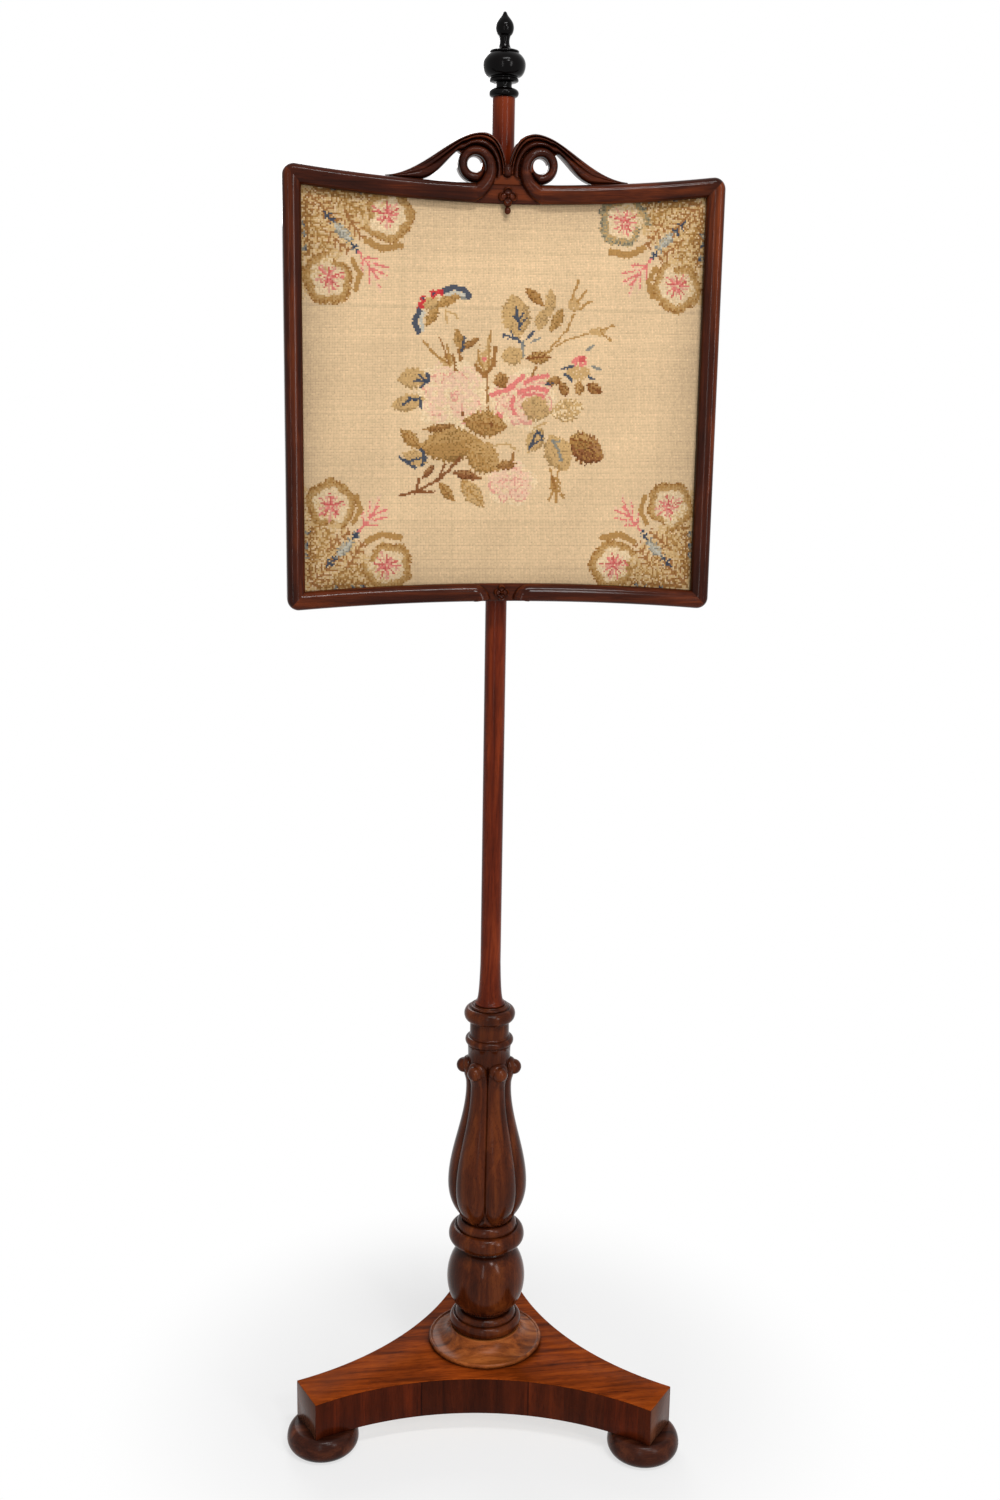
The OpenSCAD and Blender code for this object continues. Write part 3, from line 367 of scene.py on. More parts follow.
def curve(a, b, c, d, n=16):
    """Cubic curve from a to d, drawn towards b and c."""
    corners = [np.array(p, dtype=float) for p in (a, b, c, d)]
    made = []
    for t in np.linspace(0, 1, n + 1):
        weights = ((1 - t) ** 3, 3 * (1 - t) ** 2 * t, 3 * (1 - t) * t ** 2, t ** 3)
        made.append(tuple(sum(w * p for w, p in zip(weights, corners))))
    return made


def lathe(outline, steps=96, closed=False):
    bm = bmesh.new()
    points = [bm.verts.new((r * MM, 0, z * MM)) for r, z in outline]
    pairs = list(zip(points, points[1:])) + ([(points[-1], points[0])] if closed else [])
    edges = [bm.edges.new(pair) for pair in pairs]
    bmesh.ops.spin(bm, geom=points + edges, cent=(0, 0, 0), axis=(0, 0, 1), angle=2 * math.pi, steps=steps,
                   use_merge=True)
    bmesh.ops.remove_doubles(bm, verts=bm.verts, dist=MERGE)
    return bm


print("a quarter ellipse is drawn with", len(sweep_out(0, 0, 1, 1)), "points")

# %% [markdown]
# ## Feet and collar
# Three bun feet carry the platform, each with a spigot in it, and the column stands in a dished collar
# with a beaded edge. Their places are read from the frame's nodes, so a turned piece sits
# where its solid does. The three feet are one outline, spun three times and moved to the corners.

# %% Three feet and the collar
FOOT_R, FOOT_FLAT_R, SPIGOT_R = 38, 24, 9
foot_h = low("platform_core")
foot_widest = 0.47 * foot_h
foot_outline = [(0, 0)] + sweep_out(FOOT_FLAT_R, 0, FOOT_R, foot_widest) \
    + sweep_in(FOOT_R, foot_widest, FOOT_R - 9, foot_h) \
    + [(SPIGOT_R, foot_h), (SPIGOT_R, high("rear_foot")), (0, high("rear_foot"))]
for node in ("front_left_foot", "front_right_foot", "rear_foot"):
    bm = lathe(foot_outline)
    foot_x = (low(node, 0) + high(node, 0)) / 2
    foot_y = (low(node, 1) + high(node, 1)) / 2
    bmesh.ops.translate(bm, verts=bm.verts, vec=(foot_x * MM, foot_y * MM, 0))
    finish_piece("turned_" + node, bm, wood_foot, "stand", "rosewood", node)

TENON_R, SEAT_R = 15, 37.3
BORE_R = TENON_R + 0.1
collar_r = high("base_collar", 0)
ground, collar_top = low("base_collar"), high("base_collar")
collar_outline = [(BORE_R, ground)] + sweep_out(collar_r - 1.5, ground, collar_r, ground + 2.7, 5) \
    + sweep_in(collar_r, ground + 2.7, collar_r - 2.2, ground + 5.5, 5) \
    + sweep_in(collar_r - 2.6, ground + 5.3, collar_r - 4.5, ground + 3.9, 4) \
    + curve((collar_r - 6, ground + 4.1), (SEAT_R + 11, ground + 4.8),
            (SEAT_R + 3.5, ground + 8.5), (SEAT_R + 1, collar_top), 20) \
    + [(BORE_R, collar_top)]
finish_piece("turned_collar", lathe(collar_outline, closed=True), wood_collar, "stand", "rosewood",
             "base_collar")
print("turned:", PIECES)

# %% [markdown]
# ## Pole and finial
# The pole is a plain rod with a flared foot, and a bore in its top takes the finial's spigot.
# The finial is ebonised: a ring, a cup, a ball and a bud on a thin stem.
# Its outline is written in shares of its radius and height, because that is how a turner scales a pattern.

# %% The pole and its finial
POLE_R, POLE_TENON_R = 10.75, 8
FLARE_R, FLARE_H = 16, 48
POLE_BORE_R, POLE_BORE_H = 4.1, 24.1
STRAIGHT_STEPS = 24
pole_foot, pole_top = high("column"), high("pole")
flare_top = pole_foot + FLARE_H
straight = [flare_top + (pole_top - flare_top) * i / STRAIGHT_STEPS for i in range(1, STRAIGHT_STEPS + 1)]
pole_outline = [(0, low("pole")), (POLE_TENON_R, low("pole")), (POLE_TENON_R, pole_foot)] \
    + sweep_out(15.2, pole_foot, FLARE_R, pole_foot + 1.2, 4) \
    + sweep_in(FLARE_R, pole_foot + 1.2, 14.8, pole_foot + 3, 4) \
    + curve((14.4, pole_foot + 3.4), (12.2, pole_foot + 7), (11.4, pole_foot + 22),
            (POLE_R, flare_top), 18) \
    + [(POLE_R, z) for z in straight] \
    + [(POLE_BORE_R, pole_top), (POLE_BORE_R, pole_top - POLE_BORE_H), (0, pole_top - POLE_BORE_H)]
finish_piece("turned_pole", lathe(pole_outline, steps=64), wood_pole, "stand", "pole_wood", "pole")

FINIAL_SPIGOT_R = 4
finial_h = high("finial") - pole_top
finial_r = high("finial", 0)


def finial_z(share):
    return pole_top + share * finial_h


def finial_curve(n, *corners):
    """A cubic curve whose corners are shares of the finial's radius and height."""
    return curve(*[(r * finial_r, finial_z(z)) for r, z in corners], n)


ball_turns = [math.radians(46 * i / 12) for i in range(13)]
finial_outline = [(0, low("finial")), (FINIAL_SPIGOT_R, low("finial")), (FINIAL_SPIGOT_R, pole_top)] \
    + sweep_out(0.52 * finial_r, pole_top, 0.7 * finial_r, finial_z(0.052)) \
    + sweep_in(0.7 * finial_r, finial_z(0.052), 0.4 * finial_r, finial_z(0.108)) \
    + [(0.36 * finial_r, finial_z(0.135))] \
    + sweep_out(0.38 * finial_r, finial_z(0.17), 0.68 * finial_r, finial_z(0.195), 6) \
    + [(0.68 * finial_r, finial_z(0.212)), (0.63 * finial_r, finial_z(0.226))] \
    + sweep_out(0.64 * finial_r, finial_z(0.236), finial_r, finial_z(0.382)) \
    + [(finial_r * math.cos(a), finial_z(0.382 + 0.184 * math.sin(a))) for a in ball_turns] \
    + finial_curve(6, (0.66, 0.52), (0.71, 0.528), (0.7, 0.545), (0.6, 0.55)) \
    + finial_curve(8, (0.58, 0.552), (0.42, 0.562), (0.3, 0.568), (0.27, 0.59)) \
    + finial_curve(8, (0.265, 0.595), (0.21, 0.63), (0.21, 0.67), (0.27, 0.715)) \
    + finial_curve(10, (0.28, 0.718), (0.39, 0.742), (0.43, 0.785), (0.42, 0.82)) \
    + finial_curve(12, (0.42, 0.82), (0.4, 0.9), (0.13, 0.93), (0.08, 0.985)) + [(0, finial_z(1))]
finish_piece("turned_finial", lathe(finial_outline, steps=72), wood_black, "stand", "ebonised_wood",
             "finial")
print("the pole is", 2 * POLE_R, "mm thick and the finial", round(finial_h, 1), "mm high")

# %% [markdown]
# ## The carved column
# The column is turned first and then carved: six petals rise from a ring, draw in to a waist
# and end in little balls under the neck. The lathe gives the outline, and carving moves each vertex
# towards the axis by a depth that depends on its angle and height, as a gouge would.

# %% The column's outline
PETALS_FOOT = 219
PETALS_H = 191
NECK_Z = PETALS_FOOT + PETALS_H
BELLY_R = 42.7
column_z = high("base_collar")


def above(z0, points):
    return [(r, z + z0) for r, z in points]


column_outline = [(0, low("column")), (TENON_R, low("column")), (TENON_R, column_z)] + above(column_z, (
    sweep_out(33.3, 0, 39.3, 7) + sweep_in(39.3, 7, 34.7, 13.8) + [(34.4, 13.2), (33.6, 13)]
    + sweep_in(33.3, 14, 26.6, 21) + curve((26.5, 22), (36.2, 28), (BELLY_R, 42), (BELLY_R, 59), 20)
    + curve((BELLY_R, 59), (BELLY_R, 73), (38, 88), (28.6, 96), 20) + [(28.4, 98.8)]
    + sweep_out(31.3, 99.9, 41.3, 109.9, 14) + sweep_in(41.3, 109.9, 34.2, 120.5, 12)
    + [(33.6, 119.7), (32.8, 119.6)] + sweep_in(32.6, 121.5, 27.3, 130)))
petals = curve((26.5, 0), (33, 6), (BELLY_R, 20), (BELLY_R, 42), 36) \
    + curve((BELLY_R, 42), (BELLY_R, 80), (24.2, 116), (24.2, 155), 60)[1:] \
    + curve((24.3, 157), (24.3, 164), (27.5, 168), (27.2, 174), 16) \
    + curve((26.8, 176), (25.5, 180), (23.4, 182), (23, 186), 8) + [(22.6, 191)]
column_outline += above(PETALS_FOOT, petals) + above(NECK_Z, (
    [(22.9, 11)] + sweep_in(23.4, 11.4, 23, 12.6, 3) + sweep_out(23, 12.8, 25.7, 17, 8)
    + sweep_in(25.7, 17, 22, 21, 8) + [(21.8, 22.4), (20.9, 23), (20.8, 37)]
    + sweep_in(20.9, 37, 22.3, 39, 4) + sweep_out(22.4, 39.2, 27.2, 46.6, 10)
    + sweep_in(27.2, 46.6, 21.6, 53.6, 10)
    + [(21, 53.2), (20.6, 53.4)] + sweep_out(20.4, 53.6, 20.8, 54.6, 4) + sweep_in(20.8, 54.6, 19, 56.2, 5)
    + [(18.4, 55.9), (17.8, 56.2), (17.4, 57), (0, 57)]))
print("the column's outline has", len(column_outline), "points")

# %% [markdown]
# ## The gouge
# Between two petals the gouge cuts deep, and it leaves each petal round on top and round at its foot.
# A fine rib stays in the bottom of every groove. The depth fades out under the neck,
# where a ball stands on the tip of each petal with a small hood of wood behind it.

# %% Carve the petals
LOBES = 6
GROOVE_ANGLE = math.radians(267)
GOUGE_DEPTH = 7.4
PETAL_END_H, RIB_END, WAIST_H = 26, 135, 150
BALL_R, BALL_ORBIT, BALL_Z = 8.2, 26.6, 177
HOOD_SHAPE = (0.9, 1.34, 1.14, 1)


def smooth_step(x):
    x = min(max(x, 0), 1)
    return x * x * (3 - 2 * x)


def gouged(angle, up, radius):
    """Depth that the gouge takes off at an angle and a height over the petals' foot, in millimetres."""
    across = abs(((angle - GROOVE_ANGLE) / (2 * math.pi) * LOBES) % 1 * 2 - 1)
    round_end = math.sqrt(max(1 - (1 - min(up / PETAL_END_H, 1)) ** 2, 0.0025))
    share = 1 - math.sqrt(1 - 0.985 * min(across / round_end, 1) ** 2)
    if across > round_end:
        share -= 0.7 * smooth_step((across - round_end) / 0.3)
    rib = max(0, 1 - (1 - across) / 0.07) * smooth_step((up - PETAL_END_H) / 8)
    rib *= smooth_step((RIB_END - up) / 40)
    depth = GOUGE_DEPTH * radius / BELLY_R + 0.5 * max(0, radius - 22.8) * smooth_step((up - WAIST_H) / 20)
    fade = min(1, (PETALS_H - 4 - up) / 6, 0.25 + up / 14)
    return max(fade, 0) * depth * (share - 0.07 * rib)


bm = lathe(column_outline, steps=240)
for vert in bm.verts:
    up = vert.co.z / MM - PETALS_FOOT
    radius = math.hypot(vert.co.x, vert.co.y) / MM
    if 0 < up < PETALS_H and radius > 20:
        share = 1 - gouged(math.atan2(vert.co.y, vert.co.x), up, radius) / radius
        vert.co.x *= share
        vert.co.y *= share
for lobe in range(LOBES):
    turned = Matrix.Rotation(GROOVE_ANGLE + (lobe + 0.5) * 2 * math.pi / LOBES, 4, "Z")
    ball_at = turned @ Matrix.Translation((BALL_ORBIT * MM, 0, (PETALS_FOOT + BALL_Z) * MM))
    bmesh.ops.create_uvsphere(bm, u_segments=24, v_segments=16, radius=BALL_R * MM, matrix=ball_at)
    hood_at = turned @ Matrix.Translation(((BALL_ORBIT - 4.6) * MM, 0, (PETALS_FOOT + BALL_Z + 1.5) * MM))
    hood = hood_at @ Matrix.Diagonal(HOOD_SHAPE)
    bmesh.ops.create_uvsphere(bm, u_segments=24, v_segments=16, radius=BALL_R * MM, matrix=hood)
finish_piece("carved_column", bm, wood_column, "stand", "rosewood", "column", sharp=50)
print("column carved with", LOBES, "petals")

# %% [markdown]
# ## The frame's moulding
# The screen's frame is four mitred lengths of one moulding, plump on the front and rebated behind.
# Its rails are bowed towards the panel, and in the middle the mouldings curl away from a flat tablet.
# All of this is drawn square on, and one turn about the pole puts it where the screen stands.

# %% The screen's own square view
SCREEN_TURN = Matrix.Rotation(TURN, 4, "Z")


def square_box(node):
    """Lowest and highest corner of a node in millimetres, with the screen turned square."""
    places = np.array([SCREEN_TURN.inverted() @ v.co for v in nodes[node].data.vertices]) / MM
    return places.min(axis=0), places.max(axis=0)


HALF_W = square_box("right_stile")[1][0]
TOP_MID = square_box("crest")[0][2]
FRAME_H, TOP_DIP, BOTTOM_RISE = 414, 14, 9
LOW_MID = TOP_MID + TOP_DIP - FRAME_H + BOTTOM_RISE
FRAME_GAP = -square_box("left_stile")[1][1]
FRAME_T = -square_box("left_stile")[0][1] - FRAME_GAP
CREST_H = square_box("crest")[1][2] - TOP_MID
TOP_R = (HALF_W ** 2 + TOP_DIP ** 2) / (2 * TOP_DIP)
LOW_R = (HALF_W ** 2 + BOTTOM_RISE ** 2) / (2 * BOTTOM_RISE)
MEMBER, REBATE_W, REBATE_D, SIGHT_H, TABLET_H, CORNER_R = 17.5, 6, 11, 14, 14.6, 11
CROWN_U, SHOULDER_H = 0.34 * MEMBER, FRAME_T - 7
UPPER, LOWER = True, False


def front(x, depth, z):
    """A point of the square view: depth is measured forward from the frame's back."""
    return Vector((x, -FRAME_GAP - depth, z)) * MM


print("screen half as wide as", round(HALF_W), "mm, top rail's middle at", round(TOP_MID), "mm")

# %% [markdown]
# ## A skin from a grid
# A grid is the easiest start: each corner (i, j) of it is put at a point along the rail and round
# the section. Its first and last columns meet, so merging doubles makes a tube of it,
# and filling the holes closes the ends.

# %% Grids, tubes and mirrors
def surface(bm, rows, columns, place):
    """A grid of faces with its corner (i, j) at place(i, j)."""
    made = bmesh.ops.create_grid(bm, x_segments=rows, y_segments=columns, size=1)["verts"]
    for vert in made:
        i, j = round((vert.co.x + 1) / 2 * rows), round((vert.co.y + 1) / 2 * columns)
        vert.co = place(i, j)


def close_ends(bm):
    bmesh.ops.remove_doubles(bm, verts=bm.verts, dist=MERGE)
    bmesh.ops.dissolve_degenerate(bm, dist=MERGE, edges=bm.edges)
    bmesh.ops.holes_fill(bm, edges=[e for e in bm.edges if e.is_boundary], sides=0)


def tube(stations):
    """A closed skin through stations, each a ring of as many points."""
    bm = bmesh.new()
    around = len(stations[0])
    surface(bm, len(stations) - 1, around, lambda i, j: stations[i][j % around])
    close_ends(bm)
    return bm


def all_of(bm):
    return bm.verts[:] + bm.edges[:] + bm.faces[:]


def verts_of(geometry):
    return [part for part in geometry if isinstance(part, bmesh.types.BMVert)]


def mirrored(bm):
    """Adds the left half of what was drawn on the right."""
    copy = bmesh.ops.duplicate(bm, geom=all_of(bm))
    bmesh.ops.scale(bm, verts=verts_of(copy["geom"]), vec=(-1, 1, 1))
    return bm


def joined(*parts):
    """Puts several bmeshes into one."""
    whole = bmesh.new()
    for part in parts:
        mesh = bpy.data.meshes.new("part")
        part.to_mesh(mesh)
        part.free()
        whole.from_mesh(mesh)
        bpy.data.meshes.remove(mesh)
    return whole


def on_screen(bm):
    bmesh.ops.transform(bm, verts=bm.verts, matrix=SCREEN_TURN)
    return bm


print("the screen's pieces turn by", round(math.degrees(TURN), 1), "degrees when they are done")

# %% [markdown]
# ## Lines of the frame
# A rail's outer edge is an arc, and a line that lies further in has the same middle and another radius.
# The frame's corners are rounded, and a mitre at 45 degrees parts a rail from a stile.

# %% Lines of the rails and stiles
def rail_z(x, u, upper):
    """Height of a rail's line at x, drawn in from its outer edge by u."""
    if upper:
        return TOP_MID + TOP_R - math.sqrt((TOP_R + u) ** 2 - x ** 2)
    return LOW_MID - LOW_R + math.sqrt((LOW_R + u) ** 2 - x ** 2)


def corner_arc(u, upper, first, last, n=6):
    """The round corner of the frame between two angles in degrees, drawn in by u."""
    inset = max(CORNER_R, u)
    x, z = HALF_W - inset, rail_z(HALF_W - inset, inset, upper)
    up = 1 if upper else -1
    angles = [math.radians(first + (last - first) * i / n) for i in range(n + 1)]
    return [(x + (inset - u) * math.cos(a), z + up * (inset - u) * math.sin(a)) for a in angles]


def rail_line(u, upper, stop, n=40):
    corner = corner_arc(u, upper, 45, 90)
    start = corner[-1][0]
    xs = [start + (stop - start) * i / n for i in range(1, n + 1)]
    return corner + [(x, rail_z(x, u, upper)) for x in xs]


def stile_line(u, n=30):
    top, foot = corner_arc(u, UPPER, 45, 0), corner_arc(u, LOWER, 0, 45)
    z0, z1 = top[-1][1], foot[0][1]
    return top + [(HALF_W - u, z0 + (z1 - z0) * i / n) for i in range(1, n)] + foot


print("the rails are bowed to radii of", round(TOP_R), "and", round(LOW_R), "mm")

# %% [markdown]
# ## The moulding
# The section is a plump round on the front and a rebate behind, where the panel lies.
# A joiner planes a long moulding and saws its mitres. Here each point of the section draws its own line
# round the frame, so the mitre lies where the lines end and nothing has to be cut.

# %% The moulding and the two stiles
def moulding_front(u):
    if u < CROWN_U:
        return SHOULDER_H + (FRAME_T - SHOULDER_H) * math.sqrt(1 - (1 - u / CROWN_U) ** 2)
    past_crown = (u - CROWN_U) / (MEMBER - CROWN_U)
    return SIGHT_H + (FRAME_T - SIGHT_H) * math.sqrt(max(1 - past_crown ** 2, 0))


ROUND_STEPS = 22
across_rail = [MEMBER * (1 - math.cos(math.pi * k / ROUND_STEPS)) / 2 for k in range(ROUND_STEPS + 1)]
rebated_back = [(MEMBER, REBATE_D), (MEMBER - REBATE_W, REBATE_D), (MEMBER - REBATE_W, 0), (0, 0)]
moulding = [(u, moulding_front(u)) for u in across_rail] + rebated_back


def member(section, line):
    """A length of wood: a section of (u, depth) carried along the line that each u draws."""
    lines = [line(u) for u, _ in section]
    stations = []
    for i in range(len(lines[0])):
        stations.append([front(x[i][0], depth, x[i][1]) for x, (_, depth) in zip(lines, section)])
    return tube(stations)


for node, side in (("left_stile", -1), ("right_stile", 1)):
    bm = member(moulding, stile_line)
    bmesh.ops.scale(bm, verts=bm.verts, vec=(side, 1, 1))
    finish_piece("moulded_" + node, on_screen(bm), wood_upright, "screen", "rosewood", node)
print("the moulding is", MEMBER, "mm wide and", round(FRAME_T, 1), "mm thick")

# %% [markdown]
# ## Rails that curl into the crest
# On the top rail the moulding rolls up into two volutes, each round an open eye.
# One roll is drawn in polar form about its eye: the angle unwinds while the inner and outer radius close in.
# It is cut at the glue line: the lower part belongs to the rail and the upper part to the crest above it.
# On the bottom rail the mouldings end in short curls on either side of a small tablet.

# %% The roll round an eye
EYE_X, EYE_Z, EYE_R, VOLUTE_R = 31, 17.2, 7, 16.5
WIND, SETTLED, LEAVES_RAIL = 415, 325, 65
ROLL_STATIONS = 130
GROUND = 12
ROLL_RISE = 8.5
GLUE_Z = TOP_MID + 0.3


def roll_radii(turned):
    """Inner and outer radius of the roll after some degrees.

    Past a full turn it tucks in under its own start.
    """
    left = max(1 - turned / SETTLED, 0)
    inner = EYE_R + 0.4 + (EYE_Z - EYE_R) * left ** 6
    outer = VOLUTE_R - 0.4 + (EYE_Z + MEMBER - VOLUTE_R) * left ** 5
    return inner, min(outer, roll_radii(turned - 360)[0]) if turned > 360 else outer


def roll_ring(turned):
    inner, outer = roll_radii(turned)
    angle = math.radians(270 - turned)
    from_rail = 1 - smooth_step(turned / LEAVES_RAIL)
    plump = min((outer - inner) / (VOLUTE_R - EYE_R), 1)
    ring = []
    for u in across_rail:
        share = u / MEMBER
        rounded = GROUND + 1 + ROLL_RISE * plump * math.sqrt(max(1 - (2 * share - 1) ** 2, 0)) ** 0.9
        depth = from_rail * moulding_front(u) + (1 - from_rail) * rounded
        ring.append((inner + (outer - inner) * share, depth))
    ring += [(outer, GROUND - 1), (inner, GROUND - 1)]
    across, up = math.cos(angle), math.sin(angle)
    return [front(EYE_X + r * across, depth, TOP_MID + EYE_Z + r * up) for r, depth in ring]


def roll(below):
    """The part of a roll under the glue line, or the part over it."""
    bm = tube([roll_ring(turned) for turned in np.linspace(0, WIND, ROLL_STATIONS)])
    bmesh.ops.bisect_plane(bm, geom=all_of(bm), plane_co=(0, 0, GLUE_Z * MM),
                           plane_no=(0, 0, 1 if below else -1), clear_outer=True)
    close_ends(bm)
    return bm


print("the roll settles to", [round(radius, 1) for radius in roll_radii(SETTLED)], "mm about its eye")

# %% [markdown]
# ## Tablets and rails
# Between its two curls a rail is flat, as a bed for a carved flower. A tablet is one more length of wood
# with a plain section, carried along the rail's own lines, so that it lies flush with the rail's edges.
# Only the right half of a rail's moulding is drawn, and a mirror gives the left.

# %% Tablets and both rails
LOW_CURL_X, LOW_CURL_TURN, LOW_CURL_STEPS, TABLET_STEPS = 28, 80, 16, 24
TABLET_EASE = 1
flat_section = [(0, TABLET_H - TABLET_EASE), (TABLET_EASE, TABLET_H), (MEMBER - TABLET_EASE, TABLET_H),
                (MEMBER, TABLET_H - TABLET_EASE)] + rebated_back


def low_curl():
    """The end of a bottom moulding: its section turned nearly a quarter about the rail's lower edge."""
    hub_z = rail_z(LOW_CURL_X, 0, LOWER)
    stations = []
    for i in range(LOW_CURL_STEPS + 1):
        angle = math.radians(90 + LOW_CURL_TURN * i / LOW_CURL_STEPS)
        across, up = math.cos(angle), math.sin(angle)
        stations.append([front(LOW_CURL_X + u * across, depth, hub_z + u * up) for u, depth in moulding])
    return tube(stations)


def tablet(upper, reach):
    """The flat length between two curls."""
    xs = [reach - 2 * reach * i / TABLET_STEPS for i in range(TABLET_STEPS + 1)]
    return member(flat_section, lambda u: [(x, rail_z(x, u, upper)) for x in xs])


top_run = member(moulding, lambda u: rail_line(u, UPPER, EYE_X))
top_rail = joined(mirrored(joined(top_run, roll(below=True))), tablet(UPPER, EYE_X))
finish_piece("moulded_top_rail", on_screen(top_rail), wood_level, "screen", "rosewood", "top_rail")
low_run = member(moulding, lambda u: rail_line(u, LOWER, LOW_CURL_X))
low_rail = joined(mirrored(joined(low_run, low_curl())), tablet(LOWER, LOW_CURL_X))
finish_piece("moulded_bottom_rail", on_screen(low_rail), wood_level, "screen", "rosewood", "bottom_rail")
print("rails:", PIECES[-2:])

# %% [markdown]
# ## The pierced crest
# Two acanthus leaves rise from a tongue in the middle, bend over the volutes and run out along the rail.
# The ground is cut from a board: triangles fill it between its outline and the eye, and it is extruded.
# A leaf is a grid between its inner and outer edge, raised over the board in waves.

# %% The crest's board
WING = 115
CREST_BACK = 3
ON_MIDDLE = 1e-7
crown = TOP_MID + CREST_H
wing_tip_z = rail_z(WING, 0, UPPER)
gap_foot = 0.69 * WING
gap_z = rail_z(gap_foot, 0, UPPER)
eye = np.array((EYE_X, TOP_MID + EYE_Z))


def ring_point(radius, degrees):
    angle = math.radians(degrees)
    return tuple(eye + radius * np.array((math.cos(angle), math.sin(angle))))


gap_edge = curve((EYE_X + 16, TOP_MID + EYE_Z + 11.5), (EYE_X + 27, gap_z + 18), (gap_foot - 14, gap_z + 5),
                 (gap_foot, gap_z + 1), 22)
v_edge = curve((0, crown - 34), (4, crown - 16), (0.07 * WING, crown), (0.22 * WING, crown), 24)
wing_edge = curve((0.23 * WING, crown), (0.48 * WING, crown - 2.5), (0.68 * WING, wing_tip_z + 4),
                  (WING, wing_tip_z + 1), 40)


def board():
    """Half of the crest's ground, from the middle to a wing's tip."""
    bm = bmesh.new()
    under = [(x, rail_z(x, 0, UPPER)) for x in np.linspace(0, EYE_X, 8)]
    ring = [ring_point(VOLUTE_R, a) for a in np.linspace(270, 395, 30)]
    foot = [(x, rail_z(x, 0, UPPER)) for x in np.linspace(gap_foot, WING, 10)]
    outline = under + ring + gap_edge + foot + wing_edge[::-1] + v_edge[::-1]
    hole = [ring_point(EYE_R, a) for a in np.linspace(0, 360, 41)[:-1]]
    for loop in (outline, hole):
        verts = [bm.verts.new(front(x, CREST_BACK, z)) for x, z in loop]
        for pair in zip(verts, verts[1:] + verts[:1]):
            bm.edges.new(pair)
    bmesh.ops.remove_doubles(bm, verts=bm.verts, dist=10 * MERGE)
    bmesh.ops.triangle_fill(bm, use_beauty=True, edges=bm.edges[:])
    thick = bmesh.ops.extrude_face_region(bm, geom=bm.faces[:])["geom"]
    bmesh.ops.translate(bm, verts=verts_of(thick), vec=(0, -(GROUND - CREST_BACK) * MM, 0))
    middle = [f for f in bm.faces if all(abs(v.co.x) < ON_MIDDLE for v in f.verts)]
    bmesh.ops.delete(bm, geom=middle, context="FACES_ONLY")
    return bm


print("the crest stands", round(CREST_H, 1), "mm over the rail")

# %% [markdown]
# ## The crest's leaves
# Across a leaf lie a broad band and two narrow ridges, and towards its tip they fade into one swelling.
# The leaf lies on the board between the roll and the crest's upper edge, and thins out along the rail.

# %% Carve the crest
LEAF_STEPS = 30
LEAF_BED = 1.5
RIDGES = ((0, 0.56, 1.0, 6.4), (0.56, 0.79, 3.4, 3.9), (0.79, 1.001, 2.2, 4.0))


def leaf_height(v, along):
    """Height of the carving at a share v across the leaf and a share along it, in millimetres."""
    fade = 0.65 * smooth_step((along - 0.4) / 0.45)
    swelling = 1 + 6 * math.sin(math.pi * v ** 0.8) ** 0.8
    first, last, foot, rise = next(ridge for ridge in RIDGES if v < ridge[1])
    carved = foot + rise * math.sin(math.pi * ((v - first) / (last - first)) ** 0.85) ** 0.75
    return (1 - fade) * carved + fade * swelling


def leaf():
    inner = [ring_point(roll_radii(270 - a)[1] + 0.2, a) for a in np.linspace(212, 44, 30)] \
        + gap_edge[1:] + [(x, rail_z(x, 0, UPPER) + 0.6) for x in np.linspace(gap_foot + 3, WING - 1, 13)]
    outer = v_edge + wing_edge[1:]
    rings = []
    for i in range(len(outer)):
        along = i / (len(outer) - 1)
        low_edge = np.array(inner[round(along * (len(inner) - 1))])
        high_edge = np.array(outer[i])
        full = min(1, 0.45 + 2.2 * along) * (1 - 0.62 * smooth_step((along - 0.45) / 0.55))
        ring = []
        for k in range(LEAF_STEPS + 1):
            v = k / LEAF_STEPS
            x, z = low_edge + v * (high_edge - low_edge)
            ring.append(front(x, GROUND - 0.4 + full * leaf_height(v, along), z))
        ring += [front(x, GROUND - LEAF_BED, z) for x, z in (high_edge, low_edge)]
        rings.append(ring)
    return tube(rings)


TONGUE_SHAPE = (5.2, 5.8, 6.2, 1)
crest = mirrored(joined(board(), leaf(), roll(below=False)))
tongue = Matrix.Translation(front(0, GROUND - 0.5, crown - 33.5)) @ Matrix.Diagonal(TONGUE_SHAPE)
bmesh.ops.create_uvsphere(crest, u_segments=32, v_segments=20, radius=MM, matrix=tongue)
finish_piece("carved_crest", on_screen(crest), wood_carved, "screen", "rosewood", "crest", sharp=55)
print("carved:", PIECES[-1])

# %% [markdown]
# ## Paterae
# A four-petalled flower stands on each tablet, and a bud hangs under the upper one.
# In polar form the flower is one function: the outline follows the petals,
# the rims stand up and the hollows lie low.

# %% Carve the two flowers
TOP_FLOWER_R, LOW_FLOWER_R = 9.5, 8
BUD_R, BUD_DROP, BUD_SHAPE = 3, 12.5, (1, 1.1, 1.15, 1)
PATERA_SPOKES, PATERA_RINGS = 72, 16


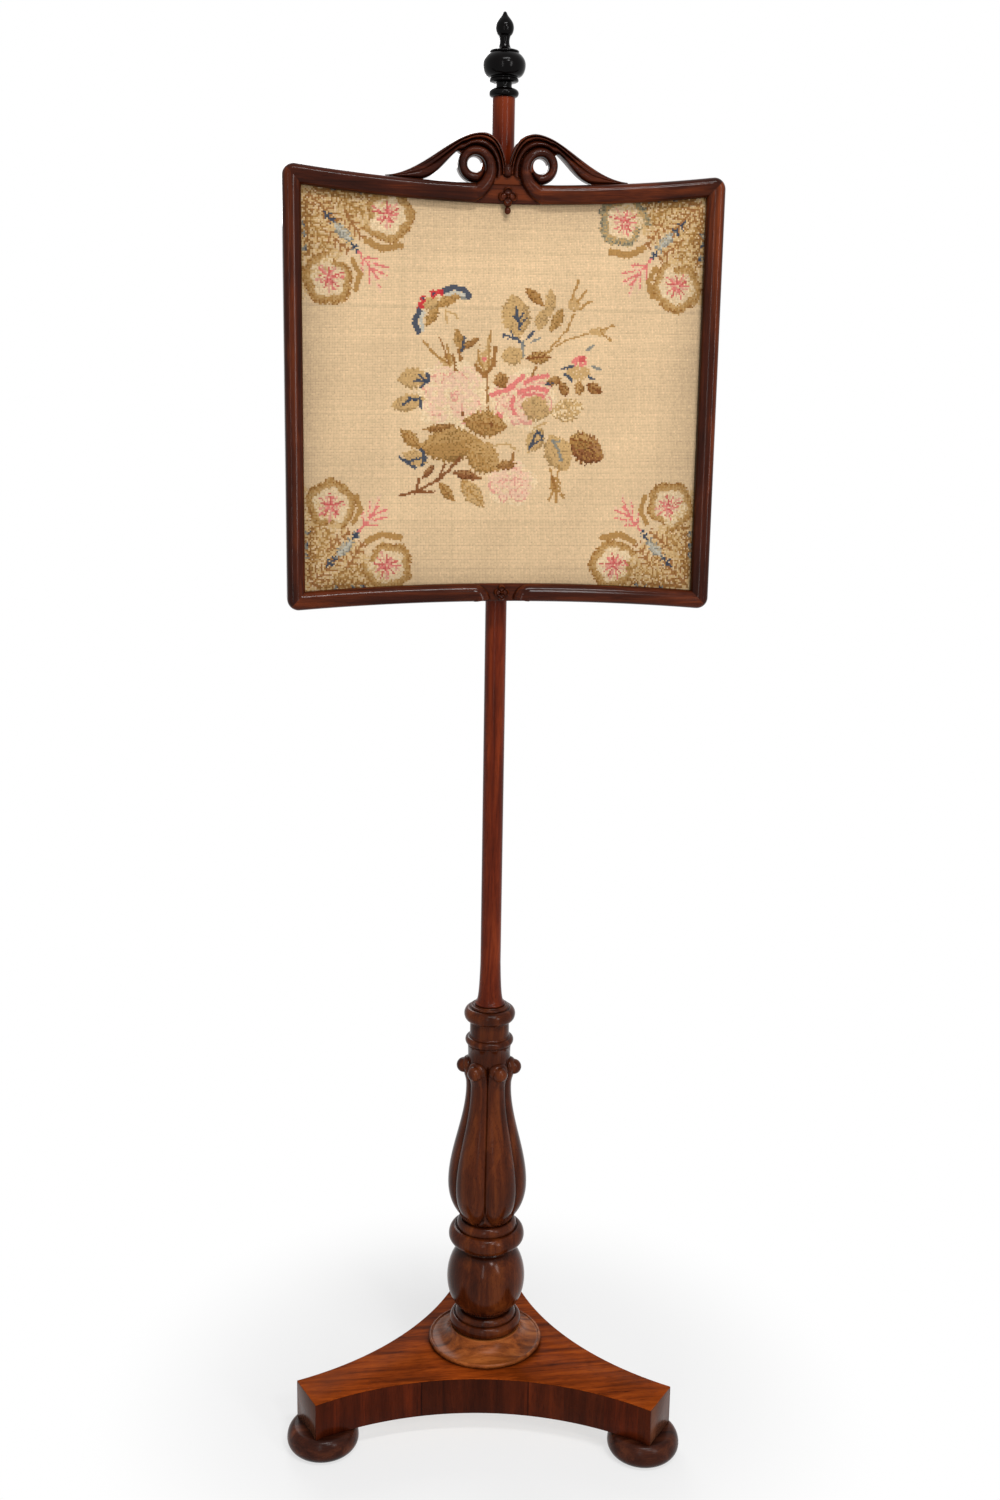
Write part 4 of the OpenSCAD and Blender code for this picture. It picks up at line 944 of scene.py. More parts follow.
def patera(z, size, bud_drop=None):
    bm = bmesh.new()

    def place(i, j):
        angle = 2 * math.pi * i / PATERA_SPOKES
        petal = abs(math.cos(2 * angle))
        share = j / PATERA_RINGS
        radius = size * share * (0.56 + 0.44 * petal ** 0.7)
        rim = math.exp(-((share - 0.82) / 0.13) ** 2)
        heart = math.exp(-(share / 0.2) ** 2)
        seam = 1.6 * (1 - petal) ** 3 * share
        depth = 1.5 + 2.6 * rim * (0.45 + 0.55 * petal) + 3.0 * heart - seam
        if j == PATERA_RINGS:
            depth = -0.8
        return front(radius * math.cos(angle), TABLET_H + depth, z + radius * math.sin(angle))

    surface(bm, PATERA_SPOKES, PATERA_RINGS, place)
    close_ends(bm)
    if bud_drop:
        bud = Matrix.Translation(front(0, TABLET_H + 0.4, z - bud_drop)) @ Matrix.Diagonal(BUD_SHAPE)
        bmesh.ops.create_uvsphere(bm, u_segments=20, v_segments=14, radius=BUD_R * MM, matrix=bud)
    return bm


lower_flower = sum(square_box("bottom_patera")) / 2
top_flower = patera(TOP_MID - 11, TOP_FLOWER_R, BUD_DROP)
low_flower = patera(lower_flower[2], LOW_FLOWER_R)
finish_piece("carved_top_flower", on_screen(top_flower), wood_carved, "screen", "rosewood", "top_patera")
finish_piece("carved_bottom_flower", on_screen(low_flower), wood_carved, "screen", "rosewood",
             "bottom_patera")
print("carved:", PIECES[-2:])

# %% [markdown]
# ## The needlework panel
# The panel is wool cross-stitch on canvas: about one stitch every millimetre and a half,
# so it is a picture made of squares.
# The mesh is a grid with one face to a stitch, and each face carries its own thread colour as an attribute.
# A little hand tremble in the coordinates gives the stepped, uneven edges of counted work.

# %% The canvas and its wools
STITCH, TREMBLE = 1.5, 0.38
panel_low, panel_high = square_box("needlework")
PANEL_DEPTH = -(panel_low[1] + panel_high[1]) / 2 - FRAME_GAP
PANEL_INSET = HALF_W - panel_high[0]
stitch_columns = round((panel_high[0] - panel_low[0]) / STITCH)
stitch_rows = round((panel_high[2] - panel_low[2]) / STITCH)
thread = np.random.default_rng(7)
across_s, across_z = np.meshgrid(
    panel_low[0] + (np.arange(stitch_columns) + 0.5) * STITCH,
    panel_low[2] + (np.arange(stitch_rows) + 0.5) * STITCH)
hand_s = across_s + thread.normal(0, TREMBLE, across_s.shape)
hand_z = across_z + thread.normal(0, TREMBLE, across_s.shape)

CANVAS, CREAM, TAN = (219, 188, 147), (230, 204, 164), (190, 152, 98)
OCHRE, UMBER, BROWN = (166, 122, 64), (144, 96, 46), (122, 70, 34)
RUSSET, STRAW, PEARL = (152, 100, 54), (204, 168, 114), (190, 184, 168)
PINK, ROSE, DULL_PINK, BLUSH = (216, 112, 106), (194, 82, 78), (216, 148, 130), (226, 186, 156)
NAVY, SLATE, PALE_SLATE, RED = (56, 64, 80), (124, 124, 116), (164, 158, 142), (192, 42, 48)
MOSS, DUSK = (142, 130, 98), (104, 100, 86)
stitched = np.empty(across_s.shape + (3,))
stitched[:] = CANVAS
print("the canvas has", stitch_columns, "by", stitch_rows, "stitches")

# %% [markdown]
# ## Motifs
# The design is worked in a few plain motifs: strokes, leaves, blots, roses, scrolls and ferns.
# Each is a mask over the stitches, and a share says how many of its stitches are taken,
# because old wool is worn and the ground shows between.

# %% Strokes, leaves and blots
COVER = 0.88
FAR = 1e9


def sew(mask, colour, share=1.0):
    """Lays a colour over a share of the stitches of a mask."""
    worn = thread.random(mask.shape) < share
    where = mask & worn
    stitched[where] = (1 - COVER) * stitched[where] + COVER * np.array(colour)


def turned_to(s, z, degrees):
    """Every stitch's place along and across an axis that leaves (s, z) at an angle."""
    across, up = math.cos(math.radians(degrees)), math.sin(math.radians(degrees))
    ds, dz = hand_s - s, hand_z - z
    return ds * across + dz * up, dz * across - ds * up


def reach_to(points):
    """Distance of every stitch from a broken line."""
    best = np.full(across_s.shape, FAR)
    for (s0, z0), (s1, z1) in zip(points, points[1:]):
        ds, dz = s1 - s0, z1 - z0
        t = np.clip(((hand_s - s0) * ds + (hand_z - z0) * dz) / (ds * ds + dz * dz), 0, 1)
        best = np.minimum(best, np.hypot(hand_s - s0 - t * ds, hand_z - z0 - t * dz))
    return best


def stroke(colour, width, *points):
    sew(reach_to(points) < width / 2, colour)


def leaf_motif(s, z, length, width, degrees, colour, vein=None):
    """A saw-edged leaf, one half lighter, hatched across, and veined if a vein colour is given."""
    a, b = turned_to(s, z, degrees)
    share = np.clip(1 - (2 * a / length) ** 2, 0, 1)
    edge = width / 2 * share ** 1.05 * (1 + 0.1 * np.sin(1.3 * a + 0.4 * np.sign(b)))
    inside = (np.abs(a) < length / 2) & (np.abs(b) < edge)
    light = tuple(0.5 * np.array(colour) + 0.5 * np.array(STRAW))
    deep = tuple(0.82 * np.array(colour))
    sew(inside, colour)
    sew(inside & (b > 0.12 * edge), light, 0.8)
    sew(inside & (np.sin(2.1 * a - 1.2 * np.abs(b)) > 0.45), deep, 0.5)
    sew(inside & (b < -0.72 * edge), deep, 0.7)
    if vein:
        ribs = (np.abs(b) < 0.9) | (np.abs((a - 1.3 * np.abs(b)) % 6 - 3) < 0.7)
        sew(inside & ribs, vein, 0.75)


def blot(s, z, width, height, colour, share=0.9):
    sew(np.hypot((hand_s - s) / width, (hand_z - z) / height) < 0.5, colour, share)


print("a stitch takes", COVER, "of its wool's colour and the rest from what lies under it")

# %% [markdown]
# ## Larger motifs
# A rose is rings of petal rims in two tones, a scroll is a band that winds in with the angle,
# and a fern is a stem with short side strokes. They are built from the small motifs above.
# Chance shifts petals and rays a little, from a fixed seed, so every run stitches the same picture.

# %% Roses, scrolls and ferns
PETAL_RINGS = ((0.18, 2), (0.36, 3), (0.55, 5), (0.74, 6), (0.92, 8))
SCROLL_RAYS = 15
FROND_LEAN = 0.9


def rose_motif(s, z, radius, shade, pale):
    """A full-blown rose: a pale ground, and petals whose broken rims wander round the heart."""
    ds, dz = (hand_s - s) / radius, (hand_z - z) / radius
    rim = 1 + 0.09 * np.sin(5 * np.arctan2(dz, ds) + 1)
    sew(np.hypot(ds, 1.1 * dz) < rim, CREAM, 0.6)
    for ring, petals in PETAL_RINGS:
        for petal in range(petals):
            middle = 2 * math.pi * (petal + 0.7 * thread.random()) / petals + ring
            bow = thread.uniform(0.08, 0.24)
            far = radius * ring * thread.uniform(0.9, 1.08)
            span = thread.uniform(0.6, 1.0) * math.pi / petals
            rims = []
            for step in (-1, -0.6, -0.2, 0.2, 0.6, 1):
                angle = middle + step * span
                reach = far - radius * bow * step ** 2
                rims.append((s + reach * math.cos(angle), z + 0.9 * reach * math.sin(angle)))
            inner = [(0.16 * s + 0.84 * rs, 0.16 * z + 0.84 * rz) for rs, rz in rims]
            stroke(pale, 2.6, *inner)
            stroke(shade if thread.random() < 0.62 else pale, 1.6, *rims)


def scroll_motif(s, z, radius, open_at, outline):
    """A curled leaf, heavy on one side, that winds in on itself round a pink flower."""
    ds, dz = hand_s - s, hand_z - z
    rho, angle = np.hypot(ds, dz), np.degrees(np.arctan2(dz, ds))
    from_gap = (angle - open_at) % 360
    wound_in = 6 * np.clip((from_gap - 230) / 130, 0, 1)
    wave = radius + 1.2 * np.sin(np.radians(5 * from_gap)) - wound_in
    band = 3.1 + 1.4 * np.sin(np.radians(0.5 * from_gap)) + 0.6 * np.sin(np.radians(9 * from_gap))
    ring = (np.abs(rho - wave) < band) & (from_gap > 10)
    sew(rho < wave - band, CREAM, 0.5)
    sew(ring, outline)
    sew(ring & (rho > wave + 0.9), UMBER if outline == OCHRE else DUSK, 0.4)
    sew(ring & (rho < wave - 0.8), TAN, 0.6)
    sew(ring & (np.sin(np.radians(26 * from_gap)) > 0.3), TAN, 0.55)
    sew(ring & (np.abs(rho - wave) > 0.7 * band), CANVAS, 0.3)
    for ray in range(SCROLL_RAYS):
        turn = math.radians(ray * 360 / SCROLL_RAYS + thread.uniform(-8, 8))
        reach = radius * thread.uniform(0.4, 0.7)
        root = s + 2 * math.cos(turn), z + 2 * math.sin(turn)
        tip = s + reach * math.cos(turn), z + reach * math.sin(turn)
        stroke((PINK, ROSE, DULL_PINK)[ray % 3], 1.7, root, tip)


def fern_motif(colour, start, end, fronds, length):
    """A stem with short side strokes that lean towards its tip."""
    (s0, z0), (s1, z1) = start, end
    stroke(colour, 1.8, start, end)
    along = math.atan2(z1 - z0, s1 - s0)
    for k in range(fronds):
        share = (k + 0.6) / fronds
        s, z = s0 + share * (s1 - s0), z0 + share * (z1 - z0)
        reach = length * (1.1 - 0.5 * share)
        for turn in (along - FROND_LEAN, along + FROND_LEAN):
            stroke(colour, 1.7, (s, z), (s + reach * math.cos(turn), z + reach * math.sin(turn)))


print("a rose has", sum(petals for _, petals in PETAL_RINGS), "petals")

# %% [markdown]
# ## The bouquet
# A bouquet of roses, buds and leaves fills the middle of the panel.
# Places are in millimetres across the panel and over the floor.
# Roses and pale leaves are laid first, and dark veins, stems and outlines close over them.

# %% Stitch the bouquet
rose_motif(-50, 1100, 36, DULL_PINK, BLUSH)
rose_motif(17, 1096, 31, DULL_PINK, BLUSH)
rose_motif(8, 1017, 24, DULL_PINK, BLUSH)
for width, points in (
        (4.5, ((-12, 1100), (4, 1106), (18, 1118))), (4, ((20, 1112), (30, 1117), (42, 1119))),
        (4.5, ((14, 1103), (27, 1108), (42, 1105))), (3.5, ((18, 1100), (28, 1102), (38, 1100))),
        (3.6, ((9, 1099), (7, 1091), (10, 1083))), (4, ((-6, 1082), (-2, 1078)))):
    stroke(PINK, width, *points)
for s, z, length, width, degrees, colour, vein in (
        (31, 1088, 30, 24, -20, TAN, None), (62, 1087, 36, 22, 15, TAN, CREAM),
        (10, 1174, 42, 28, 100, TAN, None), (43, 1187, 28, 11, 88, TAN, None),
        (35, 1171, 22, 12, 75, TAN, None), (8, 1137, 24, 18, 0, TAN, None),
        (-88, 1115, 30, 20, 8, TAN, None), (-93, 1092, 36, 16, 14, TAN, None),
        (54, 1046, 40, 28, -62, TAN, None), (31, 1058, 28, 17, 60, TAN, None),
        (-30, 1007, 36, 17, -50, TAN, OCHRE), (-86, 1040, 26, 15, -20, TAN, None),
        (-18, 1073, 46, 25, -8, OCHRE, UMBER), (-52, 1053, 62, 33, 8, OCHRE, None),
        (-20, 1041, 42, 30, -35, OCHRE, TAN), (-90, 1058, 28, 13, -40, OCHRE, UMBER),
        (28, 1192, 24, 10, -42, UMBER, OCHRE), (50, 1171, 26, 11, 62, OCHRE, None),
        (33, 1136, 25, 13, 4, OCHRE, BROWN), (48, 1114, 17, 9, 20, UMBER, None),
        (58, 1107, 17, 10, -55, UMBER, BROWN), (73, 1108, 15, 10, 100, UMBER, TAN),
        (88, 1108, 18, 11, -28, UMBER, BROWN), (-3, 1114, 17, 15, 20, UMBER, None),
        (-45, 1151, 24, 9, 102, OCHRE, None), (-33, 1148, 20, 7, 35, UMBER, None),
        (-63, 1069, 34, 7, 9, UMBER, None), (-35, 1024, 32, 9, -12, BROWN, None),
        (-55, 1008, 25, 10, -50, OCHRE, UMBER), (3, 1034, 20, 10, 6, UMBER, None),
        (82, 1050, 40, 29, -28, BROWN, OCHRE), (76, 1058, 26, 17, -10, OCHRE, BROWN),
        (-73, 1027, 18, 7, 48, BROWN, None)):
    leaf_motif(s, z, length, width, degrees, colour, vein)
for s, z, width, height, colour in (
        (-55, 1131, 15, 10, TAN), (-20, 1131, 15, 19, TAN), (66, 1186, 12, 13, TAN),
        (90, 1161, 17, 8, TAN), (72, 1122, 24, 13, TAN), (52, 1015, 11, 15, OCHRE),
        (73, 1133, 15, 10, PINK), (-20, 1133, 4, 6, PINK), (75, 1135, 7, 6, ROSE),
        (-12, 1072, 4, 6, BROWN), (-40, 1081, 4, 5, BROWN)):
    blot(s, z, width, height, colour)
for colour, width, points in (
        (OCHRE, 2, ((67, 1179), (60, 1162), (40, 1140))),
        (OCHRE, 2, ((80, 1159), (56, 1151), (42, 1141))), (OCHRE, 2.6, ((63, 1190), (70, 1208))),
        (OCHRE, 2.4, ((70, 1188), (77, 1198))), (OCHRE, 2.4, ((72, 1182), (82, 1189))),
        (OCHRE, 2.4, ((92, 1162), (105, 1167))), (OCHRE, 2.4, ((94, 1159), (103, 1153))),
        (UMBER, 3, ((30, 1126), (27, 1119))), (OCHRE, 2.2, ((-53, 1128), (-66, 1136), (-78, 1149))),
        (OCHRE, 2.2, ((-53, 1128), (-72, 1140))), (UMBER, 2, ((-54, 1129), (-62, 1152))),
        (OCHRE, 2.2, ((-52, 1130), (-56, 1146))), (UMBER, 3, ((-50, 1136), (-47, 1123))),
        (OCHRE, 2, ((-17, 1119), (-26, 1134), (-25, 1147))), (OCHRE, 2, ((-16, 1122), (-14, 1161))),
        (OCHRE, 2, ((50, 1020), (46, 1031))), (OCHRE, 2, ((53, 1021), (55, 1034))),
        (UMBER, 4, ((-9, 1144), (-11, 1128), (-18, 1119))), (UMBER, 4, ((-28, 1128), (-20, 1118))),
        (TAN, 2.6, ((-18, 1138), (-16, 1152))), (UMBER, 1.8, ((-17, 1119), (-16, 1084))),
        (UMBER, 3, ((-45, 1142), (-42, 1132))),
        (BROWN, 3, ((-100, 1004), (-82, 1009), (-60, 1022), (-42, 1040))),
        (BROWN, 3, ((-84, 1010), (-82, 1020))), (BROWN, 2.6, ((-82, 1008), (-68, 1008))),
        (BROWN, 2.6, ((-62, 1021), (-57, 1034))), (TAN, 2, ((-15, 1052), (4, 1054), (14, 1048))),
        (UMBER, 2.4, ((8, 1034), (10, 1045))), (OCHRE, 3, ((50, 1010), (46, 1001))),
        (OCHRE, 3, ((53, 1008), (53, 999))), (OCHRE, 3, ((56, 1010), (60, 1003))),
        (UMBER, 3, ((48, 1024), (52, 1012))), (TAN, 2, ((42, 1075), (30, 1070))),
        (NAVY, 2.6, ((14, 1161), (10, 1181))), (NAVY, 2.2, ((13, 1164), (20, 1172))),
        (NAVY, 2, ((12, 1168), (17, 1177))), (NAVY, 2, ((12, 1168), (8, 1174))),
        (NAVY, 2.6, ((18, 1147), (12, 1153), (-2, 1156))), (NAVY, 2, ((8, 1154), (6, 1159))),
        (SLATE, 2.4, ((17, 1150), (18, 1137))), (NAVY, 2.4, ((21, 1153), (27, 1160))),
        (SLATE, 2.4, ((25, 1150), (34, 1154))), (NAVY, 2.6, ((-86, 1112), (-73, 1113), (-74, 1120))),
        (NAVY, 2.6, ((-80, 1107), (-73, 1113))), (NAVY, 2, ((-82, 1118), (-77, 1113))),
        (NAVY, 2.6, ((-99, 1089), (-90, 1095), (-82, 1096), (-80, 1088))),
        (NAVY, 2.2, ((-92, 1097), (-86, 1094))), (NAVY, 3, ((-101, 1041), (-94, 1036), (-86, 1031))),
        (NAVY, 3.4, ((-80, 1048), (-76, 1040), (-79, 1033))), (NAVY, 2.2, ((-92, 1037), (-80, 1040))),
        (NAVY, 2.8, ((25, 1050), (29, 1058), (33, 1066))),
        (NAVY, 2.6, ((33, 1066), (38, 1062), (37, 1058))), (NAVY, 2.2, ((28, 1052), (33, 1057))),
        (SLATE, 3, ((48, 1058), (54, 1050), (57, 1039))), (SLATE, 2.4, ((50, 1056), (55, 1057))),
        (NAVY, 2.2, ((40, 1111), (47, 1112))), (NAVY, 2.4, ((55, 1126), (66, 1128))),
        (SLATE, 2.4, ((86, 1128), (94, 1126))), (NAVY, 2.8, ((59, 1121), (66, 1115))),
        (NAVY, 2.2, ((82, 1119), (88, 1116))), (SLATE, 2.2, ((80, 1144), (86, 1148))),
        (NAVY, 2.4, ((-42, 1140), (-39, 1153)))):
    stroke(colour, width, *points)


def share_worked():
    return round(float((stitched != CANVAS).any(axis=2).mean()), 2)


print("share of the canvas under the bouquet:", share_worked())

# %% [markdown]
# ## The butterfly
# A butterfly sits at the bouquet's upper left, worked in the same strokes, leaves and blots.
# The dark edges of its wings are laid first, then the wings, pale bands, red spots and feelers.

# %% Stitch the butterfly
stroke(NAVY, 5.5, (-60, 1195), (-50, 1199), (-40, 1197), (-35, 1191))
stroke(NAVY, 5.5, (-82, 1177), (-87, 1168), (-83, 1158))
stroke(SLATE, 3, (-46, 1192), (-39, 1189))
stroke(SLATE, 3, (-81, 1170), (-79, 1162))
leaf_motif(-55, 1187, 28, 11, 25, OCHRE)
leaf_motif(-70, 1172, 22, 10, 55, OCHRE)
leaf_motif(-72, 1184, 18, 12, 30, TAN)
stroke(PEARL, 3, (-57, 1192), (-48, 1194.5), (-40, 1192))
stroke(PEARL, 3.4, (-78, 1176), (-81, 1168), (-79, 1160))
for s, z in ((-79, 1188), (-69, 1192.5), (-63, 1194.5), (-81, 1182)):
    blot(s, z, 7, 7, RED)
for s, z in ((-79, 1188), (-69, 1192.5)):
    blot(s, z, 3.2, 3.6, NAVY)
stroke(TAN, 1.8, (-58, 1177), (-48, 1175), (-46, 1170))
stroke(TAN, 1.8, (-58, 1177), (-55, 1163))
print("share with the butterfly:", share_worked())

# %% [markdown]
# ## The four corners
# Each corner has a spandrel: ferns and berries on a straw ground, a slate leaf, two scrolls, a pink sprig.
# They are alike, but for one scroll at the upper right that is worked in moss.
# Places are measured in from the corner, so that one function can work all four as mirrors of each other.

# %% Stitch the four corners
CORNER_FERNS = (
    (OCHRE, (24, 5), (58, 24), 6, 9), (OCHRE, (5, 24), (24, 58), 6, 9), (UMBER, (10, 3), (62, 7), 9, 8),
    (UMBER, (3, 10), (7, 62), 9, 8), (RUSSET, (4, 4), (33, 32), 6, 11), (RUSSET, (40, 22), (56, 46), 4, 8),
    (RUSSET, (22, 40), (44, 58), 4, 8))
DARK_BERRIES = ((2, 34), (2, 44), (3, 56), (46, 3), (56, 4), (30, 2))
PINK_SPRIG = (((60, 67), (80, 72)), ((64, 72), (79, 79)), ((66, 76), (72, 90)), ((62, 70), (63, 86)),
              ((57, 64), (56, 75)), ((57, 64), (70, 64)))
SPANDREL, SPANDREL_HEART, SCROLL_R = 92, 74, 21


def stitch_corner(side, up):
    corner_s = side * (HALF_W - MEMBER)
    corner_z = rail_z(corner_s, MEMBER, up > 0)

    def spot(inward, drop):
        """A place measured from the corner of the panel: in along the rail, and away from it."""
        return corner_s - side * inward, corner_z - up * drop

    inward, drop = side * (corner_s - hand_s), up * (corner_z - hand_z)
    veil = (inward + 0.9 * drop < SPANDREL) & (inward > -4) & (drop > -4)
    sew(veil, STRAW, 0.7)
    for colour, start, end, fronds, length in CORNER_FERNS:
        fern_motif(colour, spot(*start), spot(*end), fronds, length)
    thick = veil & (inward + 0.9 * drop < SPANDREL_HEART)
    sew(thick, UMBER, 0.07)
    sew(thick, STRAW, 0.08)
    sew(thick, OCHRE, 0.1)
    for inward_at, drop_at in DARK_BERRIES:
        blot(*spot(inward_at, drop_at), 4.5, 6, SLATE, 0.75)
        blot(*spot(inward_at + 1, drop_at + 1), 2.4, 3, NAVY, 0.8)
    leaf_along = 45 if up * side > 0 else -45
    fern_motif(NAVY, spot(20, 23), spot(34, 37), 3, 5)
    fern_motif(SLATE, spot(30, 32), spot(50, 55), 4, 6)
    leaf_motif(*spot(38, 41), 22, 9, leaf_along, PALE_SLATE, PEARL)
    fern_motif(NAVY, spot(46, 50), spot(52, 58), 2, 3)
    outline = MOSS if (side, up) == (1, 1) else OCHRE
    for (inward_at, drop_at), open_at, colour in (((79, 25), 195, outline), ((25, 82), 75, OCHRE)):
        gap = open_at if side < 0 else 180 - open_at
        scroll_motif(*spot(inward_at, drop_at), SCROLL_R, gap if up > 0 else -gap, colour)
    stroke(OCHRE, 6, spot(60, 48), spot(74, 55), spot(92, 52))
    stroke(OCHRE, 5, spot(47, 66), spot(54, 78), spot(50, 92))
    stroke(PINK, 2.2, spot(52, 58), spot(62, 70), spot(71, 82))
    for start, end in PINK_SPRIG:
        stroke(PINK, 1.9, spot(*start), spot(*end))
        stroke(BLUSH, 1.6, spot(start[0] + 1, start[1] + 4), spot(end[0] + 1, end[1] + 3))


for side in (-1, 1):
    for up in (-1, 1):
        stitch_corner(side, up)
print("share with the corners:", share_worked())

# %% [markdown]
# ## Old wool and painted creases
# The tone changes a little from row to row, the panel is darker towards the frame, broad waves of painted
# shade stand for creases, and no two stitches are quite the same tone. All of that is a factor close to 1 on
# every stitch's colour.

# %% Ageing of the wool, with painted crease shade
rows_tone = thread.normal(0, 0.014, (stitch_rows, 1)) + thread.normal(0, 0.006, (1, stitch_columns))
# Painted shade: broad waves of light and dark that stand for creases in the slack cloth.
crease_shade = 0.02 * np.sin(across_s / 31 + across_z / 47) * np.sin(across_z / 23 - across_s / 19)
single = thread.normal(0, 0.024, across_s.shape)
# The panel is darker towards the frame.
to_edge = np.minimum(HALF_W - MEMBER - np.abs(across_s), np.minimum(
    TOP_MID - across_z - 8, across_z - LOW_MID - 8))
wool_tone_and_shade = 1 - 0.16 * np.exp(-np.clip(to_edge, 0, None) / 22) + rows_tone + crease_shade + single
stitched = np.clip(stitched * wool_tone_and_shade[..., None], 0, 255)
wool_colours = linear_level(stitched)
print("mean tone of the aged wool:", [round(float(tone)) for tone in stitched.mean(axis=(0, 1))])

# %% [markdown]
# ## Woven cloth
# Wool on canvas and linen both show their threads. A UV map counts threads, one to a step,
# and a pattern of cells without randomness puts a raised crossing on each of them, with painted shade in the
# gap between.
# Fine noise makes the thread hairy, and a little sheen gives its soft edge.

# %% A woven finish
def woven_finish(name, colour_attribute, plain, gap_shade, depth):
    """Cloth coloured by an attribute or in two plain tones, with a thread crossing at each UV step and
    painted shade between crossings.
    """
    material, tree, shader = new_material(name)
    place = add(tree, "ShaderNodeUVMap", {"uv_map": "stitches"}).outputs[0]
    cross = add(tree, "ShaderNodeTexVoronoi", {"voronoi_dimensions": "2D"}, Vector=place, Scale=1.0,
                Randomness=0.0)
    fuzz = add(tree, "ShaderNodeTexNoise", {"noise_dimensions": "2D"}, Vector=place, Scale=2.6, Detail=3.0)
    if colour_attribute:
        colour = add(tree, "ShaderNodeVertexColor", {"layer_name": colour_attribute}).outputs[0]
    else:
        colour = ramp(tree, fuzz.outputs[0], [(0.3, plain[0]), (0.7, plain[1])])
    # Painted shade: the colour darkens away from each crossing, in the gaps between threads.
    between = ramp(tree, cross.outputs["Distance"], [(0.30, WHITE), (0.62, (gap_shade,) * 3)])
    colour = mix(tree, 1.0, colour, between, "MULTIPLY")
    hairs = ramp(tree, fuzz.outputs[0], [(0.3, (0.9, 0.9, 0.9)), (0.7, (1.06, 1.06, 1.06))])
    tree.links.new(mix(tree, 1.0, colour, hairs, "MULTIPLY"), shader.inputs["Base Color"])
    height = add(tree, "ShaderNodeMath", {"operation": "MULTIPLY_ADD"}, _0=cross.outputs["Distance"],
                 _1=-1.0, _2=fuzz.outputs[0])
    relief = add(tree, "ShaderNodeBump", None, Strength=0.5, Distance=depth, Height=height.outputs[0])
    tree.links.new(relief.outputs[0], shader.inputs["Normal"])
    shader.inputs["Roughness"].default_value = 0.92
    shader.inputs["Specular IOR Level"].default_value = 0.15
    shader.inputs["Sheen Weight"].default_value = 0.12
    return material


needle_finish = woven_finish("wool_cross_stitch", "thread_colour", None, 0.72, 0.0006)
linen_finish = woven_finish("brown_linen", None, (srgb(128, 100, 70), srgb(154, 124, 90)), 0.7, 0.0003)
print("cloths:", needle_finish.name, linen_finish.name)

# %% [markdown]
# ## The two sheets
# Needlework and lining are stretched over the strainer's four bars, one in front and one behind.
# Both are cut from a grid: faces past the bowed edges are dropped, and the rest keeps its count of threads.
# A slight slack keeps the cloth from looking like a board.

# %% Stretch the needlework and the lining
STRAINER = ("strainer_top_bar", "strainer_bottom_bar", "strainer_left_bar", "strainer_right_bar")
LINING_CELLS, LINEN_THREAD = 90, 0.9


def cloth(name, columns, rows, depth_at, finish, slot, node, uv_step, colours=None):
    """A stretched sheet: a grid, cut to the panel's outline, with a UV map in threads."""
    bm = bmesh.new()
    width, height = panel_high[0] - panel_low[0], panel_high[2] - panel_low[2]

    def place(i, j):
        x, z = panel_low[0] + width * i / columns, panel_low[2] + height * j / rows
        return front(x, depth_at(x, z), z)

    surface(bm, columns, rows, place)
    threads = bm.loops.layers.uv.new("stitches")
    shades = bm.loops.layers.float_color.new("thread_colour") if colours is not None else None
    spare = []
    for face in bm.faces:
        middle = face.calc_center_median() / MM
        inside = rail_z(middle.x, PANEL_INSET, LOWER) < middle.z < rail_z(middle.x, PANEL_INSET, UPPER)
        if not inside:
            spare.append(face)
            continue
        i = int((middle.x - panel_low[0]) / width * columns)
        j = int((middle.z - panel_low[2]) / height * rows)
        for loop in face.loops:
            x, z = loop.vert.co.x / MM, loop.vert.co.z / MM
            loop[threads].uv = ((x - panel_low[0]) / uv_step, (z - panel_low[2]) / uv_step)
            if shades:
                loop[shades] = (*colours[j, i], 1)
    bmesh.ops.delete(bm, geom=spare, context="FACES")
    bmesh.ops.recalc_face_normals(bm, faces=bm.faces)
    if bm.faces[:][0].normal.y > 0:
        bmesh.ops.reverse_faces(bm, faces=bm.faces)
    area = sum(f.calc_area() for f in bm.faces)
    piece = put_in_scene(name, on_screen(bm), finish, "screen", slot, node)
    print(name, "is", round(width), "by", round(height), "mm, area", round(area, 4), "square metres")


def panel_slack(x, z):
    return PANEL_DEPTH + 0.18 * math.sin(x / 27 + z / 41) + 0.12 * math.sin(z / 17 - x / 60)


lining_low, lining_high = square_box("back_lining")
LINING_DEPTH = -(lining_low[1] + lining_high[1]) / 2 - FRAME_GAP


def lining_slack(x, z):
    return LINING_DEPTH + 0.12 * math.sin(x / 35 - z / 52)


cloth("stitched_panel", stitch_columns, stitch_rows, panel_slack, needle_finish, "needlework", "needlework",
      STITCH, wool_colours)
cloth("linen_back", LINING_CELLS, LINING_CELLS, lining_slack, linen_finish, "lining", "back_lining",
      LINEN_THREAD)

# %% [markdown]
# ## Platform, strainer and fittings
# These pieces already have the right shape in the frame. A copy of each mesh is cleaned into flat faces,
# and its sharp edges are bevelled, because a real edge is never as keen as a knife:
# its thin line of light shows that it was eased by hand. The frame's own meshes stay as they are.

# %% Round the edges of the plainer pieces
FLAT, CRISP = 1.0, 30


